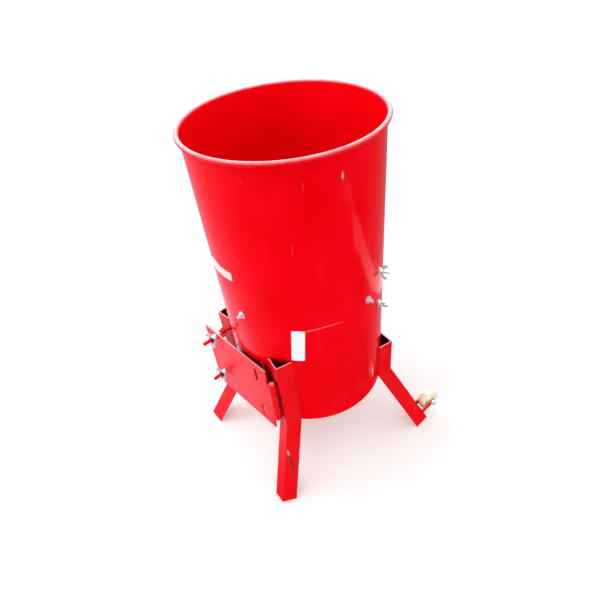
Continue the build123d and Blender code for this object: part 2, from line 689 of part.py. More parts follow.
with BuildPart() as bearing_housing:
    with BuildSketch(level(HOUSING_BOTTOM)):
        Circle(HOUSING_R)
    extrude(amount=flange_z - HOUSING_BOTTOM)
    with BuildSketch(level(flange_z)):
        Circle(HOUSING_FLANGE_R)
        with PolarLocations(HOUSING_BOLT_CIRCLE_R, 4, 45):
            Circle(M8_R + 0.5, mode=Mode.SUBTRACT)
    extrude(amount=HOUSING_FLANGE)
    with BuildSketch(level(flange_z + HOUSING_FLANGE)):
        Circle(HOUSING_SPIGOT_R)
    extrude(amount=HOUSING_TOP - flange_z - HOUSING_FLANGE)
    with BuildSketch(level(HOUSING_BOTTOM)):
        Circle(SHOULDER_R)
    extrude(amount=HOUSING_TOP - HOUSING_BOTTOM, mode=Mode.SUBTRACT)
    for seat, depth in ((HOUSING_BOTTOM, BEARING_HEIGHTS[0] + BEARING_WIDTH - HOUSING_BOTTOM),
                        (BEARING_HEIGHTS[1], HOUSING_TOP - BEARING_HEIGHTS[1])):
        with BuildSketch(level(seat)):
            Circle(BEARING_OUTER_R + 0.02)
        extrude(amount=depth, mode=Mode.SUBTRACT)
    with BuildSketch(level(BEARING_HEIGHTS[0] - CIRCLIP_WIDTH - 0.1)):
        Circle(BEARING_OUTER_R + CIRCLIP_DEPTH)
    extrude(amount=CIRCLIP_WIDTH + 0.1, mode=Mode.SUBTRACT)
    for rib in range(4):
        with BuildSketch(Plane(Vector(0, 0, DRUM_Z), x_dir=outward(45 + 90 * rib),
                               z_dir=tangent(45 + 90 * rib))):
            with BuildLine():
                Polyline(
                    (HOUSING_R - 1, flange_z + 1),
                    (HOUSING_R - 1, flange_z - 40),
                    (HOUSING_R + 12, flange_z + 1),
                    close=True,
                )
            make_face()
        extrude(amount=3, both=True)
finish(bearing_housing, "bearing_housing")

with BuildPart() as housing_circlip:
    with BuildSketch(level(BEARING_HEIGHTS[0] - CIRCLIP_WIDTH - 0.05)):
        Circle(BEARING_OUTER_R + CIRCLIP_DEPTH - 0.1)
        Circle(BEARING_OUTER_R - 3.5, mode=Mode.SUBTRACT)
        with Locations((BEARING_OUTER_R, 0)):
            Rectangle(12, 9, mode=Mode.SUBTRACT)
    extrude(amount=CIRCLIP_WIDTH)
finish(housing_circlip, "housing_circlip")

RACE_PITCH_R = (BEARING_OUTER_R + BEARING_BORE_R) / 2
BALL_R = 3.95
BALLS = 9
RACE_GAP = 0.07

with BuildPart() as bearing_outer_rings:
    for height in BEARING_HEIGHTS:
        tube(level(height), BEARING_OUTER_R, RACE_PITCH_R + BALL_R + RACE_GAP, BEARING_WIDTH)
finish(bearing_outer_rings, "bearing_outer_rings")

with BuildPart() as bearing_inner_rings:
    for height in BEARING_HEIGHTS:
        tube(level(height), RACE_PITCH_R - BALL_R - RACE_GAP, BEARING_BORE_R + 0.02, BEARING_WIDTH)
finish(bearing_inner_rings, "bearing_inner_rings")

with BuildPart() as bearing_balls:
    for height in BEARING_HEIGHTS:
        with Locations((0, 0, DRUM_Z + height + BEARING_WIDTH / 2)):
            with PolarLocations(RACE_PITCH_R, BALLS):
                Sphere(BALL_R)
finish(bearing_balls, "bearing_balls")

with BuildPart() as bearing_spacer:
    spacer_bottom = BEARING_HEIGHTS[0] + BEARING_WIDTH
    tube(level(spacer_bottom), 14.8, BEARING_BORE_R + 0.1, BEARING_HEIGHTS[1] - spacer_bottom)
finish(bearing_spacer, "bearing_spacer")

housing_bolt_head = 5.3
with BuildPart() as housing_bolts:
    with Locations((0, 0, DRUM_Z)):
        with PolarLocations(HOUSING_BOLT_CIRCLE_R, 4, 45) as spots:
            bolt_spots = [spot.position for spot in spots.locations]
    for spot in bolt_spots:
        top = Plane(Vector(spot.X, spot.Y, DRUM_Z + FLOOR_Z + FLOOR_THICKNESS + 0.1))
        hex_head(top, M8_NUT_FLATS, housing_bolt_head)
        with BuildSketch(top.offset(-30)):
            Circle(M8_R)
        extrude(amount=30)
finish(housing_bolts, "housing_bolts")

with BuildPart() as housing_nuts:
    for spot in bolt_spots:
        seat = Plane(Vector(spot.X, spot.Y, DRUM_Z + flange_z - 0.1 - M8_NUT_HEIGHT))
        hex_nut(seat, M8_NUT_FLATS, M8_R + RUN, M8_NUT_HEIGHT)
finish(housing_nuts, "housing_nuts")

# ---------------------------------------------------------------- rotor
COLLAR_R = 17.0
HUB_BORE_R = 15.0
HUB_BOSS_R = 27.0
HUB_FLANGE = 8.0
HUB_BOSS_TOP = HUB_Z + 30
THREAD_R = 8.0
KEY_WIDTH = 8.0
KEY_LENGTH = 20.0
collar_z = BEARING_HEIGHTS[1] + BEARING_WIDTH

with BuildPart() as rotor_shaft:
    for bottom, top, radius in (
        (SHAFT_BOTTOM, collar_z, BEARING_BORE_R),
        (collar_z, HUB_Z, COLLAR_R),
        (HUB_Z, HUB_BOSS_TOP - 1, HUB_BORE_R),
        (HUB_BOSS_TOP - 1, HUB_BOSS_TOP + 24, THREAD_R),
    ):
        with BuildSketch(level(bottom)):
            Circle(radius)
        extrude(amount=top - bottom)
    for seat, radius in ((HUB_Z + 4, HUB_BORE_R), (PULLEY_Z + 2, BEARING_BORE_R)):
        with BuildSketch(level(seat)):
            with Locations((radius, 0)):
                Rectangle(8, KEY_WIDTH, mode=Mode.ADD)
        extrude(amount=KEY_LENGTH, mode=Mode.SUBTRACT)
    with BuildSketch(level(SHAFT_BOTTOM)):
        Circle(M8_R + RUN)
    extrude(amount=22, mode=Mode.SUBTRACT)
finish(rotor_shaft, "rotor_shaft")

with BuildPart() as shaft_keys:
    for seat, radius in ((HUB_Z + 4, HUB_BORE_R), (PULLEY_Z + 2, BEARING_BORE_R)):
        with BuildSketch(level(seat + 0.05)):
            with Locations((radius - 0.45, 0)):
                Rectangle(7, KEY_WIDTH - 0.1)
        extrude(amount=KEY_LENGTH - 0.1)
finish(shaft_keys, "shaft_keys")

with BuildPart() as rotor_hub:
    with BuildSketch(level(HUB_Z + 0.1)):
        Circle(HUB_FLANGE_R)
        with PolarLocations(HUB_BOLT_CIRCLE_R, 4, 45):
            Circle(AXLE_R + 0.3, mode=Mode.SUBTRACT)
    extrude(amount=HUB_FLANGE - 0.1)
    with BuildSketch(level(HUB_Z + HUB_FLANGE)):
        Circle(HUB_BOSS_R)
    extrude(amount=HUB_BOSS_TOP - HUB_Z - HUB_FLANGE)
    with BuildSketch(level(HUB_Z)):
        Circle(HUB_BORE_R + 0.02)
        with Locations((HUB_BORE_R, 0)):
            Rectangle(7, KEY_WIDTH)
    extrude(amount=HUB_BOSS_TOP - HUB_Z, mode=Mode.SUBTRACT)
finish(rotor_hub, "rotor_hub")

BLADE_WIDTH = 50.0
BLADE_BEVEL = 14.0


def crossed_knife(bottom, tip_r, turn):
    """Two-armed knife: a round centre and two arms, each bevelled on its leading edge."""
    with BuildSketch(level(bottom)) as disc:
        Circle(HUB_FLANGE_R)
    extrude(disc.sketch, amount=KNIFE_THICKNESS)
    half = BLADE_WIDTH / 2
    for arm in (turn, turn + 180):
        across = Plane(Vector(0, 0, DRUM_Z + bottom), x_dir=tangent(arm), z_dir=outward(arm))
        with BuildSketch(across.offset(20)) as section:
            with BuildLine():
                Polyline(
                    (-half, 0),
                    (half, 0),
                    (half, 1),
                    (half - BLADE_BEVEL, KNIFE_THICKNESS),
                    (-half, KNIFE_THICKNESS),
                    close=True,
                )
            make_face()
        extrude(section.sketch, amount=tip_r - 20)
    with BuildSketch(level(bottom)) as holes:
        Circle(HUB_BOSS_R + 0.2)
        with PolarLocations(HUB_BOLT_CIRCLE_R, 4, 45):
            Circle(AXLE_R + 0.3)
    extrude(holes.sketch, amount=KNIFE_THICKNESS, mode=Mode.SUBTRACT)


stack = 0.1
lower_knife_z = HUB_Z + HUB_FLANGE + stack
upper_knife_z = lower_knife_z + KNIFE_THICKNESS + stack
clamp_ring_z = upper_knife_z + KNIFE_THICKNESS + stack
CLAMP_RING = 5.0

with BuildPart() as lower_knife:
    crossed_knife(lower_knife_z, 206, 20)
finish(lower_knife, "lower_knife")

with BuildPart() as upper_knife:
    crossed_knife(upper_knife_z, 180, 110)
finish(upper_knife, "upper_knife")

with BuildPart() as knife_clamp_ring:
    with BuildSketch(level(clamp_ring_z)):
        Circle(HUB_FLANGE_R - 2)
        Circle(HUB_BOSS_R + 0.2, mode=Mode.SUBTRACT)
        with PolarLocations(HUB_BOLT_CIRCLE_R, 4, 45):
            Circle(AXLE_R + 0.3, mode=Mode.SUBTRACT)
    extrude(amount=CLAMP_RING)
finish(knife_clamp_ring, "knife_clamp_ring")

with BuildPart() as knife_bolts:
    for azimuth in range(45, 360, 90):
        spot = outward(azimuth) * HUB_BOLT_CIRCLE_R
        top = Plane(spot + Vector(0, 0, DRUM_Z + clamp_ring_z + CLAMP_RING + 0.1))
        hex_head(top, AXLE_FLATS, AXLE_HEAD_HEIGHT)
        grip = clamp_ring_z + CLAMP_RING + 0.1 - HUB_Z + 3
        with BuildSketch(top.offset(-grip)):
            Circle(AXLE_R)
        extrude(amount=grip)
finish(knife_bolts, "knife_bolts")

with BuildPart() as hub_washer:
    tube(level(HUB_BOSS_TOP + 0.1), 20, THREAD_R + 0.3, 4)
finish(hub_washer, "hub_washer")

with BuildPart() as hub_nut:
    hex_nut(level(HUB_BOSS_TOP + 4.2), 24, THREAD_R + RUN, 14)
finish(hub_nut, "hub_nut")

# ---------------------------------------------------------------- driven pulley
GROOVE_TOP = 13.0
GROOVE_BOTTOM = 9.0
half_width = PULLEY_WIDTH / 2
pulley_mid = DRUM_Z + PULLEY_Z + half_width

with BuildPart() as driven_pulley:
    with BuildSketch(Plane.XZ):
        with BuildLine():
            Polyline(
                (BEARING_BORE_R + 0.02, pulley_mid - half_width),
                (PULLEY_R, pulley_mid - half_width),
                (PULLEY_R, pulley_mid - GROOVE_TOP / 2),
                (PULLEY_R - SHEAVE_DEPTH, pulley_mid - GROOVE_BOTTOM / 2),
                (PULLEY_R - SHEAVE_DEPTH, pulley_mid + GROOVE_BOTTOM / 2),
                (PULLEY_R, pulley_mid + GROOVE_TOP / 2),
                (PULLEY_R, pulley_mid + half_width),
                (BEARING_BORE_R + 0.02, pulley_mid + half_width),
                close=True,
            )
        make_face()
    revolve(axis=Axis.Z)
    with BuildSketch(level(PULLEY_Z)):
        with Locations((BEARING_BORE_R, 0)):
            Rectangle(7, KEY_WIDTH)
    extrude(amount=PULLEY_WIDTH, mode=Mode.SUBTRACT)
    with BuildSketch(level(PULLEY_Z)):
        with PolarLocations(34, 4, 45):
            Circle(8)
    extrude(amount=PULLEY_WIDTH, mode=Mode.SUBTRACT)
finish(driven_pulley, "driven_pulley")

with BuildPart() as pulley_spacer:
    tube(level(PULLEY_Z + PULLEY_WIDTH + 0.1), 16, BEARING_BORE_R + 0.05,
         BEARING_HEIGHTS[0] - 0.2 - PULLEY_Z - PULLEY_WIDTH)
finish(pulley_spacer, "pulley_spacer")

with BuildPart() as pulley_washer:
    tube(level(SHAFT_BOTTOM - 3.2), 18, M8_R + 0.3, 3)
finish(pulley_washer, "pulley_washer")

with BuildPart() as pulley_bolt:
    head_z = SHAFT_BOTTOM - 3.3 - HEAD_HEIGHT
    hex_head(level(head_z), M8_NUT_FLATS, HEAD_HEIGHT)
    with BuildSketch(level(head_z)):
        Circle(M8_R)
    extrude(amount=HEAD_HEIGHT + 24)
finish(pulley_bolt, "pulley_bolt")
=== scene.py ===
"""Looks of an upright drum chopper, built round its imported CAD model.

Metres, in the CAD model's own frame: +Z up, the origin on the floor under the drum's
axis, the motor plate on the -Y side. Azimuths are degrees from -Y, towards +X.
"""

import json
import random
from math import atan2, ceil, cos, degrees, hypot, pi, radians, sin, sqrt

import bmesh
import bpy
from mathutils import Matrix, Vector, noise


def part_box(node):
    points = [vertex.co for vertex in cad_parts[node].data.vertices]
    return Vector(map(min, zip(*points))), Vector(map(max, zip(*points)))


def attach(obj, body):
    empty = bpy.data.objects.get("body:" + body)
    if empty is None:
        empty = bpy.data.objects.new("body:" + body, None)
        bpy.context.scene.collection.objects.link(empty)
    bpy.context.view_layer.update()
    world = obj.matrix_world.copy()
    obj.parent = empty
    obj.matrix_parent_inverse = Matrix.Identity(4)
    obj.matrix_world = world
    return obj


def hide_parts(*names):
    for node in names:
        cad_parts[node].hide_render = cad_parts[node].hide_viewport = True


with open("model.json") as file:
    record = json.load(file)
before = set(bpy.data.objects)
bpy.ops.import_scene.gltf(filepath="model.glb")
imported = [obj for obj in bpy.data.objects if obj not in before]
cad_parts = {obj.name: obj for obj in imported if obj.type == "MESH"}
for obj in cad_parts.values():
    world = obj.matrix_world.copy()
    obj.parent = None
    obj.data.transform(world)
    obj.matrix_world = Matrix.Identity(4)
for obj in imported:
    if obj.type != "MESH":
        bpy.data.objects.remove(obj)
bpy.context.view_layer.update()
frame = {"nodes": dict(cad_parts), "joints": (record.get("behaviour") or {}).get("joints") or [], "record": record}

NODES = frame["nodes"]
RECORD = frame["record"]
JOINTS = {joint["name"]: joint for joint in frame["joints"]}
BODY_OF = {node: body for body, nodes in RECORD["behaviour"]["bodies"].items() for node in nodes}
SLOT_OF = {entry["node"]: entry["material_slot"] for entry in RECORD["subparts"]}

# ---------------------------------------------------------------- sizes and places
MERGE = 1e-6  # corner points closer than this are one

SHEET = 0.0016  # drum's steel sheet
RIM_R = 0.006  # rolled edge
DRUM_LOW, DRUM_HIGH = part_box("drum_shell")
DRUM_Z = DRUM_LOW.z
RIM_Z = DRUM_HIGH.z - RIM_R
RIM_CENTRE_R = DRUM_HIGH.x - RIM_R
WALL_TOP_R = RIM_CENTRE_R - RIM_R + SHEET
WALL_BOTTOM_R = max(hypot(v.co.x, v.co.y) for v in NODES["drum_shell"].data.vertices
                    if v.co.z < DRUM_Z + SHEET)
WALL_LEAN = atan2(WALL_TOP_R - WALL_BOTTOM_R, RIM_Z - DRUM_Z)

# Standard fasteners: thread radius and pitch, width across flats, and head height.
M8 = {"radius": 0.004, "pitch": 0.00125, "flats": 0.013, "head": 0.0053}
M10 = {"radius": 0.005, "pitch": 0.0015, "flats": 0.016, "head": 0.0064}
M12 = {"radius": 0.006, "pitch": 0.00175, "flats": 0.018, "head": 0.0075}
M16 = {"radius": 0.008, "pitch": 0.002, "flats": 0.024, "head": 0.010}
PLAY = 0.00005  # radial clearance of a nut on its thread


def outward(azimuth):
    """Horizontal unit vector away from the drum's axis."""
    return Vector((sin(radians(azimuth)), -cos(radians(azimuth)), 0))


def azimuth_of(point):
    """Azimuth of a point, in degrees."""
    return degrees(atan2(point.x, -point.y))


def wall_radius(z):
    """Outer radius of the drum's wall at a height above the floor."""
    return WALL_BOTTOM_R + (WALL_TOP_R - WALL_BOTTOM_R) * (z - DRUM_Z) / (RIM_Z - DRUM_Z)


def wall_normal(azimuth):
    """Outward normal of the leaning wall."""
    return outward(azimuth) * cos(WALL_LEAN) - Vector((0, 0, sin(WALL_LEAN)))


def wall_point(azimuth, z, lift=0.0):
    """Point on the wall's outer face, or lifted off it."""
    return outward(azimuth) * (wall_radius(z) + lift) + Vector((0, 0, z))


# ---------------------------------------------------------------- reading CAD solids
def solids(node):
    """Each separate solid of a CAD node, as a list of its corner points."""
    mesh = bmesh.new()
    mesh.from_mesh(NODES[node].data)
    bmesh.ops.remove_doubles(mesh, verts=mesh.verts, dist=MERGE)
    found = []
    for vert in mesh.verts:
        if vert.tag:
            continue
        vert.tag = True
        island = [vert]
        for member in island:
            for edge in member.link_edges:
                other = edge.other_vert(member)
                if not other.tag:
                    other.tag = True
                    island.append(other)
        found.append([member.co.copy() for member in island])
    mesh.free()
    return found


def axis_matrix(origin, direction, side=Vector((0, 0, 1))):
    """Frame at a point with Z along a direction and X as near as it can be to another."""
    z = Vector(direction).normalized()
    if abs(z.dot(side)) > 0.999:
        side = Vector((1, 0, 0))
    x = (side - z * side.dot(z)).normalized()
    return Matrix.Translation(origin) @ Matrix((x, z.cross(x), z)).transposed().to_4x4()


def seat(points, direction):
    """A round or hexagonal solid's own frame, Z along its axis from its low end, and its length."""
    turned = axis_matrix(Vector((0, 0, 0)), direction)
    local = [turned.inverted() @ point for point in points]
    low = [min(point[i] for point in local) for i in range(3)]
    high = [max(point[i] for point in local) for i in range(3)]
    middle = Vector(((low[0] + high[0]) / 2, (low[1] + high[1]) / 2, low[2]))
    return turned @ Matrix.Translation(middle), high[2] - low[2]


# ---------------------------------------------------------------- mesh building
def closed_rings(rings, cap=True):
    """Shape, as points and faces, of a skin through rings of as many points each."""
    count = len(rings[0])
    points = [point for ring in rings for point in ring]
    faces = []
    for row in range(len(rings) - 1):
        for i in range(count):
            j = (i + 1) % count
            faces.append((row * count + i, row * count + j, (row + 1) * count + j, (row + 1) * count + i))
    if cap:
        faces.append(tuple(reversed(range(count))))
        last = (len(rings) - 1) * count
        faces.append(tuple(last + i for i in range(count)))
    return points, faces


def ring(radius, z, steps):
    """Circle of points about Z. The radius and the height can be functions of the turn."""
    turns = [2 * pi * i / steps for i in range(steps)]
    radii = [radius(turn) if callable(radius) else radius for turn in turns]
    heights = [z(turn) if callable(z) else z for turn in turns]
    return [Vector((r * cos(turn), r * sin(turn), h)) for turn, r, h in zip(turns, radii, heights)]


def lathe(profile, steps=48, cap=True):
    """Shape turned about Z from a list of radius and height."""
    return closed_rings([ring(radius, z, steps) for radius, z in profile], cap)


def moved(shape, matrix):
    """Shape carried by a matrix."""
    points, faces = shape
    return [matrix @ point for point in points], faces


def new_piece(name, shapes, material, crease=35):
    """One object from several shapes, smooth except where faces meet at over the crease angle."""
    points, faces = [], []
    for shape_points, shape_faces in shapes:
        first = len(points)
        points += shape_points
        faces += [tuple(first + i for i in face) for face in shape_faces]
    mesh = bpy.data.meshes.new(name)
    mesh.from_pydata(points, [], faces)
    work = bmesh.new()
    work.from_mesh(mesh)
    bmesh.ops.recalc_face_normals(work, faces=work.faces)
    work.to_mesh(mesh)
    work.free()
    mesh.shade_smooth()
    mesh.set_sharp_from_angle(angle=radians(crease))
    mesh.materials.append(material)
    thing = bpy.data.objects.new(name, mesh)
    bpy.context.scene.collection.objects.link(thing)
    return thing


def stand_in(thing, *nodes):
    """The piece is shown in place of CAD nodes of one body, and moves with that body."""
    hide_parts(*nodes)
    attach(thing, BODY_OF[nodes[0]])


def fixture(thing, body="frame"):
    """The piece is extra detail, under paint, on a body."""
    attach(thing, body)


# ---------------------------------------------------------------- materials
class Paints:
    """Builds one material's nodes."""

    def __init__(self, name):
        self.material = bpy.data.materials.new(name)
        self.material.use_nodes = True
        self.tree = self.material.node_tree
        self.shader = self.tree.nodes["Principled BSDF"]
        self.coordinates = self.add("ShaderNodeTexCoord").outputs
        self.place = self.coordinates["Object"]

    def add(self, kind, **settings):
        """Add a node. Settings name its properties, or its inputs by their names in lower case."""
        made = self.tree.nodes.new(kind)
        for name, value in settings.items():
            if hasattr(made, name):
                setattr(made, name, value)
            else:
                self.feed(made.inputs[name.replace("_", " ").title()], value)
        return made

    def feed(self, socket, value):
        """Link an output into a socket, or set the socket's own value."""
        if isinstance(value, bpy.types.NodeSocket):
            self.tree.links.new(value, socket)
        else:
            socket.default_value = value

    def set(self, **values):
        """Set or link the shader's inputs."""
        for name, value in values.items():
            title = {"ior": "IOR", "specular": "Specular IOR Level"}.get(name, name.replace("_", " ").title())
            self.feed(self.shader.inputs[title], value)

    def stretch(self, x, y, z):
        """Coordinates scaled by axis."""
        made = self.add("ShaderNodeMapping")
        self.feed(made.inputs["Vector"], self.place)
        made.inputs["Scale"].default_value = (x, y, z)
        return made.outputs["Vector"]

    def noise(self, scale, detail=3.0, roughness=0.55, source=None):
        """Smooth noise, 0 to 1, with a scale in cells per metre."""
        made = self.add("ShaderNodeTexNoise")
        self.feed(made.inputs["Vector"], source or self.place)
        made.inputs["Scale"].default_value = scale
        made.inputs["Detail"].default_value = detail
        made.inputs["Roughness"].default_value = roughness
        return made.outputs["Fac"]

    def cells(self, scale):
        """Distance to the nearest point of a scattered set."""
        made = self.add("ShaderNodeTexVoronoi")
        self.feed(made.inputs["Vector"], self.place)
        made.inputs["Scale"].default_value = scale
        return made.outputs["Distance"]

    def spread(self, value, low, high, to_low=0.0, to_high=1.0):
        """Value mapped from one range to another and clamped."""
        made = self.add("ShaderNodeMapRange")
        self.feed(made.inputs["Value"], value)
        for name, number in (("From Min", low), ("From Max", high), ("To Min", to_low), ("To Max", to_high)):
            made.inputs[name].default_value = number
        return made.outputs["Result"]

    def math(self, operation, a, b=0.0, c=0.0):
        """Arithmetic on values."""
        made = self.add("ShaderNodeMath", operation=operation)
        for socket, value in zip(made.inputs, (a, b, c)):
            self.feed(socket, value)
        return made.outputs[0]

    def split(self, source=None):
        """The three coordinates."""
        made = self.add("ShaderNodeSeparateXYZ")
        self.feed(made.inputs[0], source or self.place)
        return made.outputs

    def from_axis(self):
        """Distance from the upright axis."""
        x, y = self.split()[:2]
        return self.math("SQRT", self.math("ADD", self.math("MULTIPLY", x, x), self.math("MULTIPLY", y, y)))

    def mix(self, share, first, second):
        """Mix of two colours."""
        made = self.add("ShaderNodeMix", data_type="RGBA")
        self.feed(made.inputs["Factor"], share)
        for socket, value in zip((made.inputs[6], made.inputs[7]), (first, second)):
            self.feed(socket, value if isinstance(value, bpy.types.NodeSocket) else (*value, 1.0))
        return made.outputs[2]

    def bump(self, *layers):
        """Stack height layers, each a value with its height in metres, and use them as the surface."""
        normal = None
        for value, height in layers:
            made = self.add("ShaderNodeBump")
            made.inputs["Strength"].default_value = 1.0
            made.inputs["Distance"].default_value = height
            self.feed(made.inputs["Height"], value)
            if normal is not None:
                self.feed(made.inputs["Normal"], normal)
            normal = made.outputs["Normal"]
        self.feed(self.shader.inputs["Normal"], normal)


PAINT_DEEP = (0.78, 0.0002, 0.0034)
PAINT_BRIGHT = (0.86, 0.0002, 0.0060)
PAINT_DUSTY = (0.80, 0.022, 0.030)
# pale pink of the painted highlight on up-facing surfaces
PAINT_HIGHLIGHT = (0.97, 0.30, 0.31)
PRIMER = (0.16, 0.045, 0.035)
# near black of the painted shade in recesses
PAINTED_CREVICE_SHADE = (0.035, 0.0012, 0.0012)
PAINT_IOR = 1.2


def red_enamel(name, peel=0.00002, ripple=0.0, chips=0.0, gloss=0.16, corner=0.0,
               tint=(1.0, 0.80, 1.0, 1.0), edge_z=0.0, edge_facing=(0.80, 0.98), edge_rough=0.0):
    """Sprayed enamel: two close reds, faint run-down dust, orange peel, and chips to dark primer.

    The corner is how deep a recess has to be before painted shade darkens it towards near black.
    Above edge_z, what faces up between the two edge_facing cosines gets a pale painted highlight.
    """
    p = Paints(name)
    drift = p.noise(4.0, 2.0)
    speck = p.noise(55.0, 4.0)
    colour = p.mix(p.spread(drift, 0.35, 0.65), PAINT_DEEP, PAINT_BRIGHT)
    runs = p.noise(1.0, 4.0, 0.6, p.stretch(42, 42, 2.2))
    dust = p.math("MULTIPLY", p.spread(runs, 0.58, 0.80, 0.0, 0.22), p.spread(speck, 0.3, 0.7, 0.4, 1.0))
    colour = p.mix(dust, colour, PAINT_DUSTY)
    # Painted shade: what ambient occlusion finds recessed within the corner distance is mixed towards near black.
    if corner:
        shade = p.add("ShaderNodeAmbientOcclusion", samples=6)
        shade.inputs["Distance"].default_value = corner
        colour = p.mix(p.spread(shade.outputs["AO"], 0.30, 0.62, 1.0, 0.0), colour, PAINTED_CREVICE_SHADE)
    # Painted highlight: above edge_z, surfaces facing up between the edge_facing cosines are mixed towards pale
    # pink.
    above = p.spread(p.split()[2], edge_z, edge_z + 0.002)
    facing = p.spread(p.split(p.coordinates["Normal"])[2], *edge_facing)
    painted_highlight = p.math("MULTIPLY", p.spread(p.noise(70.0, 3.0), 0.25, 0.6, 0.55, 0.95), p.math("MULTIPLY", facing, above))
    colour = p.mix(painted_highlight, colour, PAINT_HIGHLIGHT)
    layers = [(p.noise(420.0, 2.0), peel)]
    if ripple:
        layers.append((p.noise(1.0, 1.0, 0.4, p.stretch(7, 7, 2.5)), ripple))
    if chips:
        patches = p.spread(p.noise(26.0, 5.0, 0.7), 0.66, 0.70)
        rare = p.spread(p.noise(6.0, 2.0), 1.0 - chips, 1.0 - chips + 0.06)
        bare = p.math("MULTIPLY", patches, rare)
        colour = p.mix(bare, colour, PRIMER)
        layers.append((p.math("SUBTRACT", 1.0, bare), 0.00008))
    sheen = p.spread(p.noise(16.0, 4.0), 0.3, 0.75, gloss, gloss + 0.14)
    p.set(base_color=colour, roughness=p.math("MULTIPLY_ADD", above, edge_rough, sheen), ior=PAINT_IOR)
    p.shader.inputs["Specular Tint"].default_value = tint
    p.bump(*layers)
    return p.material


def zinc_plate(name, tint=(0.86, 0.87, 0.88), shade=(0.66, 0.68, 0.70), rough=0.22, metal=0.58):
    """Bright zinc plating: cloudy tint, fine tumbling marks and small dull spots."""
    p = Paints(name)
    cloud = p.noise(160.0, 3.0)
    colour = p.mix(p.spread(cloud, 0.3, 0.7), tint, shade)
    spots = p.spread(p.cells(900.0), 0.05, 0.16, 1.0, 0.0)
    colour = p.mix(p.math("MULTIPLY", spots, 0.35), colour, (0.30, 0.30, 0.29))
    p.set(base_color=colour, metallic=metal, roughness=p.spread(cloud, 0.25, 0.8, rough, rough + 0.22))
    p.bump((p.noise(1400.0, 2.0), 0.000012), (p.noise(240.0, 3.0), 0.00003))
    return p.material


def black_oxide():
    """Oiled black oxide with paler rubbed corners. On the jam nuts its near black is also painted shade for the wing
    nuts' dark hubs.
    """
    p = Paints("black_oxide_and_painted_shade")
    rub = p.spread(p.noise(420.0, 4.0, 0.7), 0.58, 0.72)
    p.set(base_color=p.mix(rub, (0.012, 0.012, 0.013), (0.10, 0.10, 0.10)), metallic=0.6,
          roughness=p.spread(p.noise(300.0), 0.3, 0.7, 0.3, 0.5))
    p.bump((p.noise(1500.0, 2.0), 0.00001))
    return p.material


def turned_steel(name, colour=(0.55, 0.55, 0.56), dark=(0.36, 0.36, 0.37), rough=0.24):
    """Lathe-turned steel: fine feed marks about the machine's upright axis, with oily smears."""
    p = Paints(name)
    feed = p.add("ShaderNodeCombineXYZ")
    p.feed(feed.inputs[0], p.from_axis())
    p.feed(feed.inputs[2], p.split()[2])
    marks = p.noise(2600.0, 2.0, 0.5, feed.outputs[0])
    smear = p.noise(38.0, 4.0)
    p.set(base_color=p.mix(p.spread(smear, 0.3, 0.7), colour, dark), metallic=1.0,
          roughness=p.spread(smear, 0.3, 0.7, rough, rough + 0.2))
    p.bump((marks, 0.00001))
    return p.material


def blade_steel():
    """Hardened strip: bluish scale, long grinding marks and smears of sap."""
    p = Paints("blade_steel_finish")
    scale = p.noise(60.0, 5.0, 0.65)
    colour = p.mix(p.spread(scale, 0.35, 0.65), (0.40, 0.41, 0.43), (0.21, 0.22, 0.25))
    sap = p.spread(p.noise(14.0, 4.0, 0.6), 0.60, 0.74, 0.0, 0.5)
    colour = p.mix(sap, colour, (0.10, 0.085, 0.04))
    p.set(base_color=colour, metallic=0.9, roughness=p.spread(scale, 0.3, 0.7, 0.25, 0.5))
    p.bump((p.noise(1.0, 2.0, 0.5, p.stretch(900, 900, 900)), 0.00001), (scale, 0.00002))
    return p.material


def cast_metal(name, colour, pits=0.00012):
    """Sand-cast metal with a coarse skin."""
    p = Paints(name)
    grain = p.noise(520.0, 4.0, 0.65)
    deep = tuple(0.55 * c for c in colour)
    p.set(base_color=p.mix(p.spread(grain, 0.35, 0.7), deep, colour), metallic=0.35,
          roughness=p.spread(grain, 0.3, 0.7, 0.42, 0.62))
    p.bump((grain, pits), (p.noise(90.0, 2.0), 0.0002))
    return p.material


def cast_nylon():
    """Natural nylon: creamy and slightly translucent, scuffed, with grit on the tread."""
    p = Paints("nylon_finish")
    cloud = p.noise(60.0, 3.0)
    colour = p.mix(p.spread(cloud, 0.3, 0.7), (0.93, 0.93, 0.78), (0.90, 0.88, 0.66))
    grit = p.spread(p.noise(340.0, 5.0, 0.7), 0.66, 0.74, 0.0, 0.35)
    colour = p.mix(grit, colour, (0.35, 0.29, 0.18))
    p.set(base_color=colour, roughness=p.spread(cloud, 0.3, 0.7, 0.34, 0.48), specular=0.2)
    p.shader.inputs["Subsurface Weight"].default_value = 0.12
    p.shader.inputs["Subsurface Radius"].default_value = (0.006, 0.004, 0.002)
    p.shader.inputs["Subsurface Scale"].default_value = 1.0
    p.bump((p.noise(900.0, 2.0), 0.000012), (p.noise(110.0, 3.0), 0.00005))
    return p.material


def blank_vinyl():
    """Blank white sticker: a faint cool cast, small trapped bubbles and a soft sheen."""
    p = Paints("label_finish")
    cloud = p.noise(24.0, 3.0)
    colour = p.mix(p.spread(cloud, 0.3, 0.7), (0.90, 0.93, 0.95), (0.80, 0.88, 0.90))
    bubbles = p.spread(p.cells(260.0), 0.0, 0.16, 1.0, 0.0)
    p.set(base_color=colour, roughness=p.spread(cloud, 0.3, 0.7, 0.28, 0.4), coat_weight=0.3)
    p.bump((p.math("MULTIPLY", bubbles, bubbles), 0.00004), (p.noise(180.0, 2.0), 0.00002))
    return p.material


def floor_paper():
    """Studio floor of matt white paper."""
    p = Paints("studio_paper")
    grain = p.noise(120.0, 3.0)
    p.set(base_color=p.mix(grain, (0.93, 0.93, 0.93), (0.95, 0.95, 0.95)), roughness=0.9, specular=0.0,
          emission_strength=0.12)
    p.shader.inputs["Emission Color"].default_value = (0.92, 1.0, 1.0, 1.0)
    return p.material
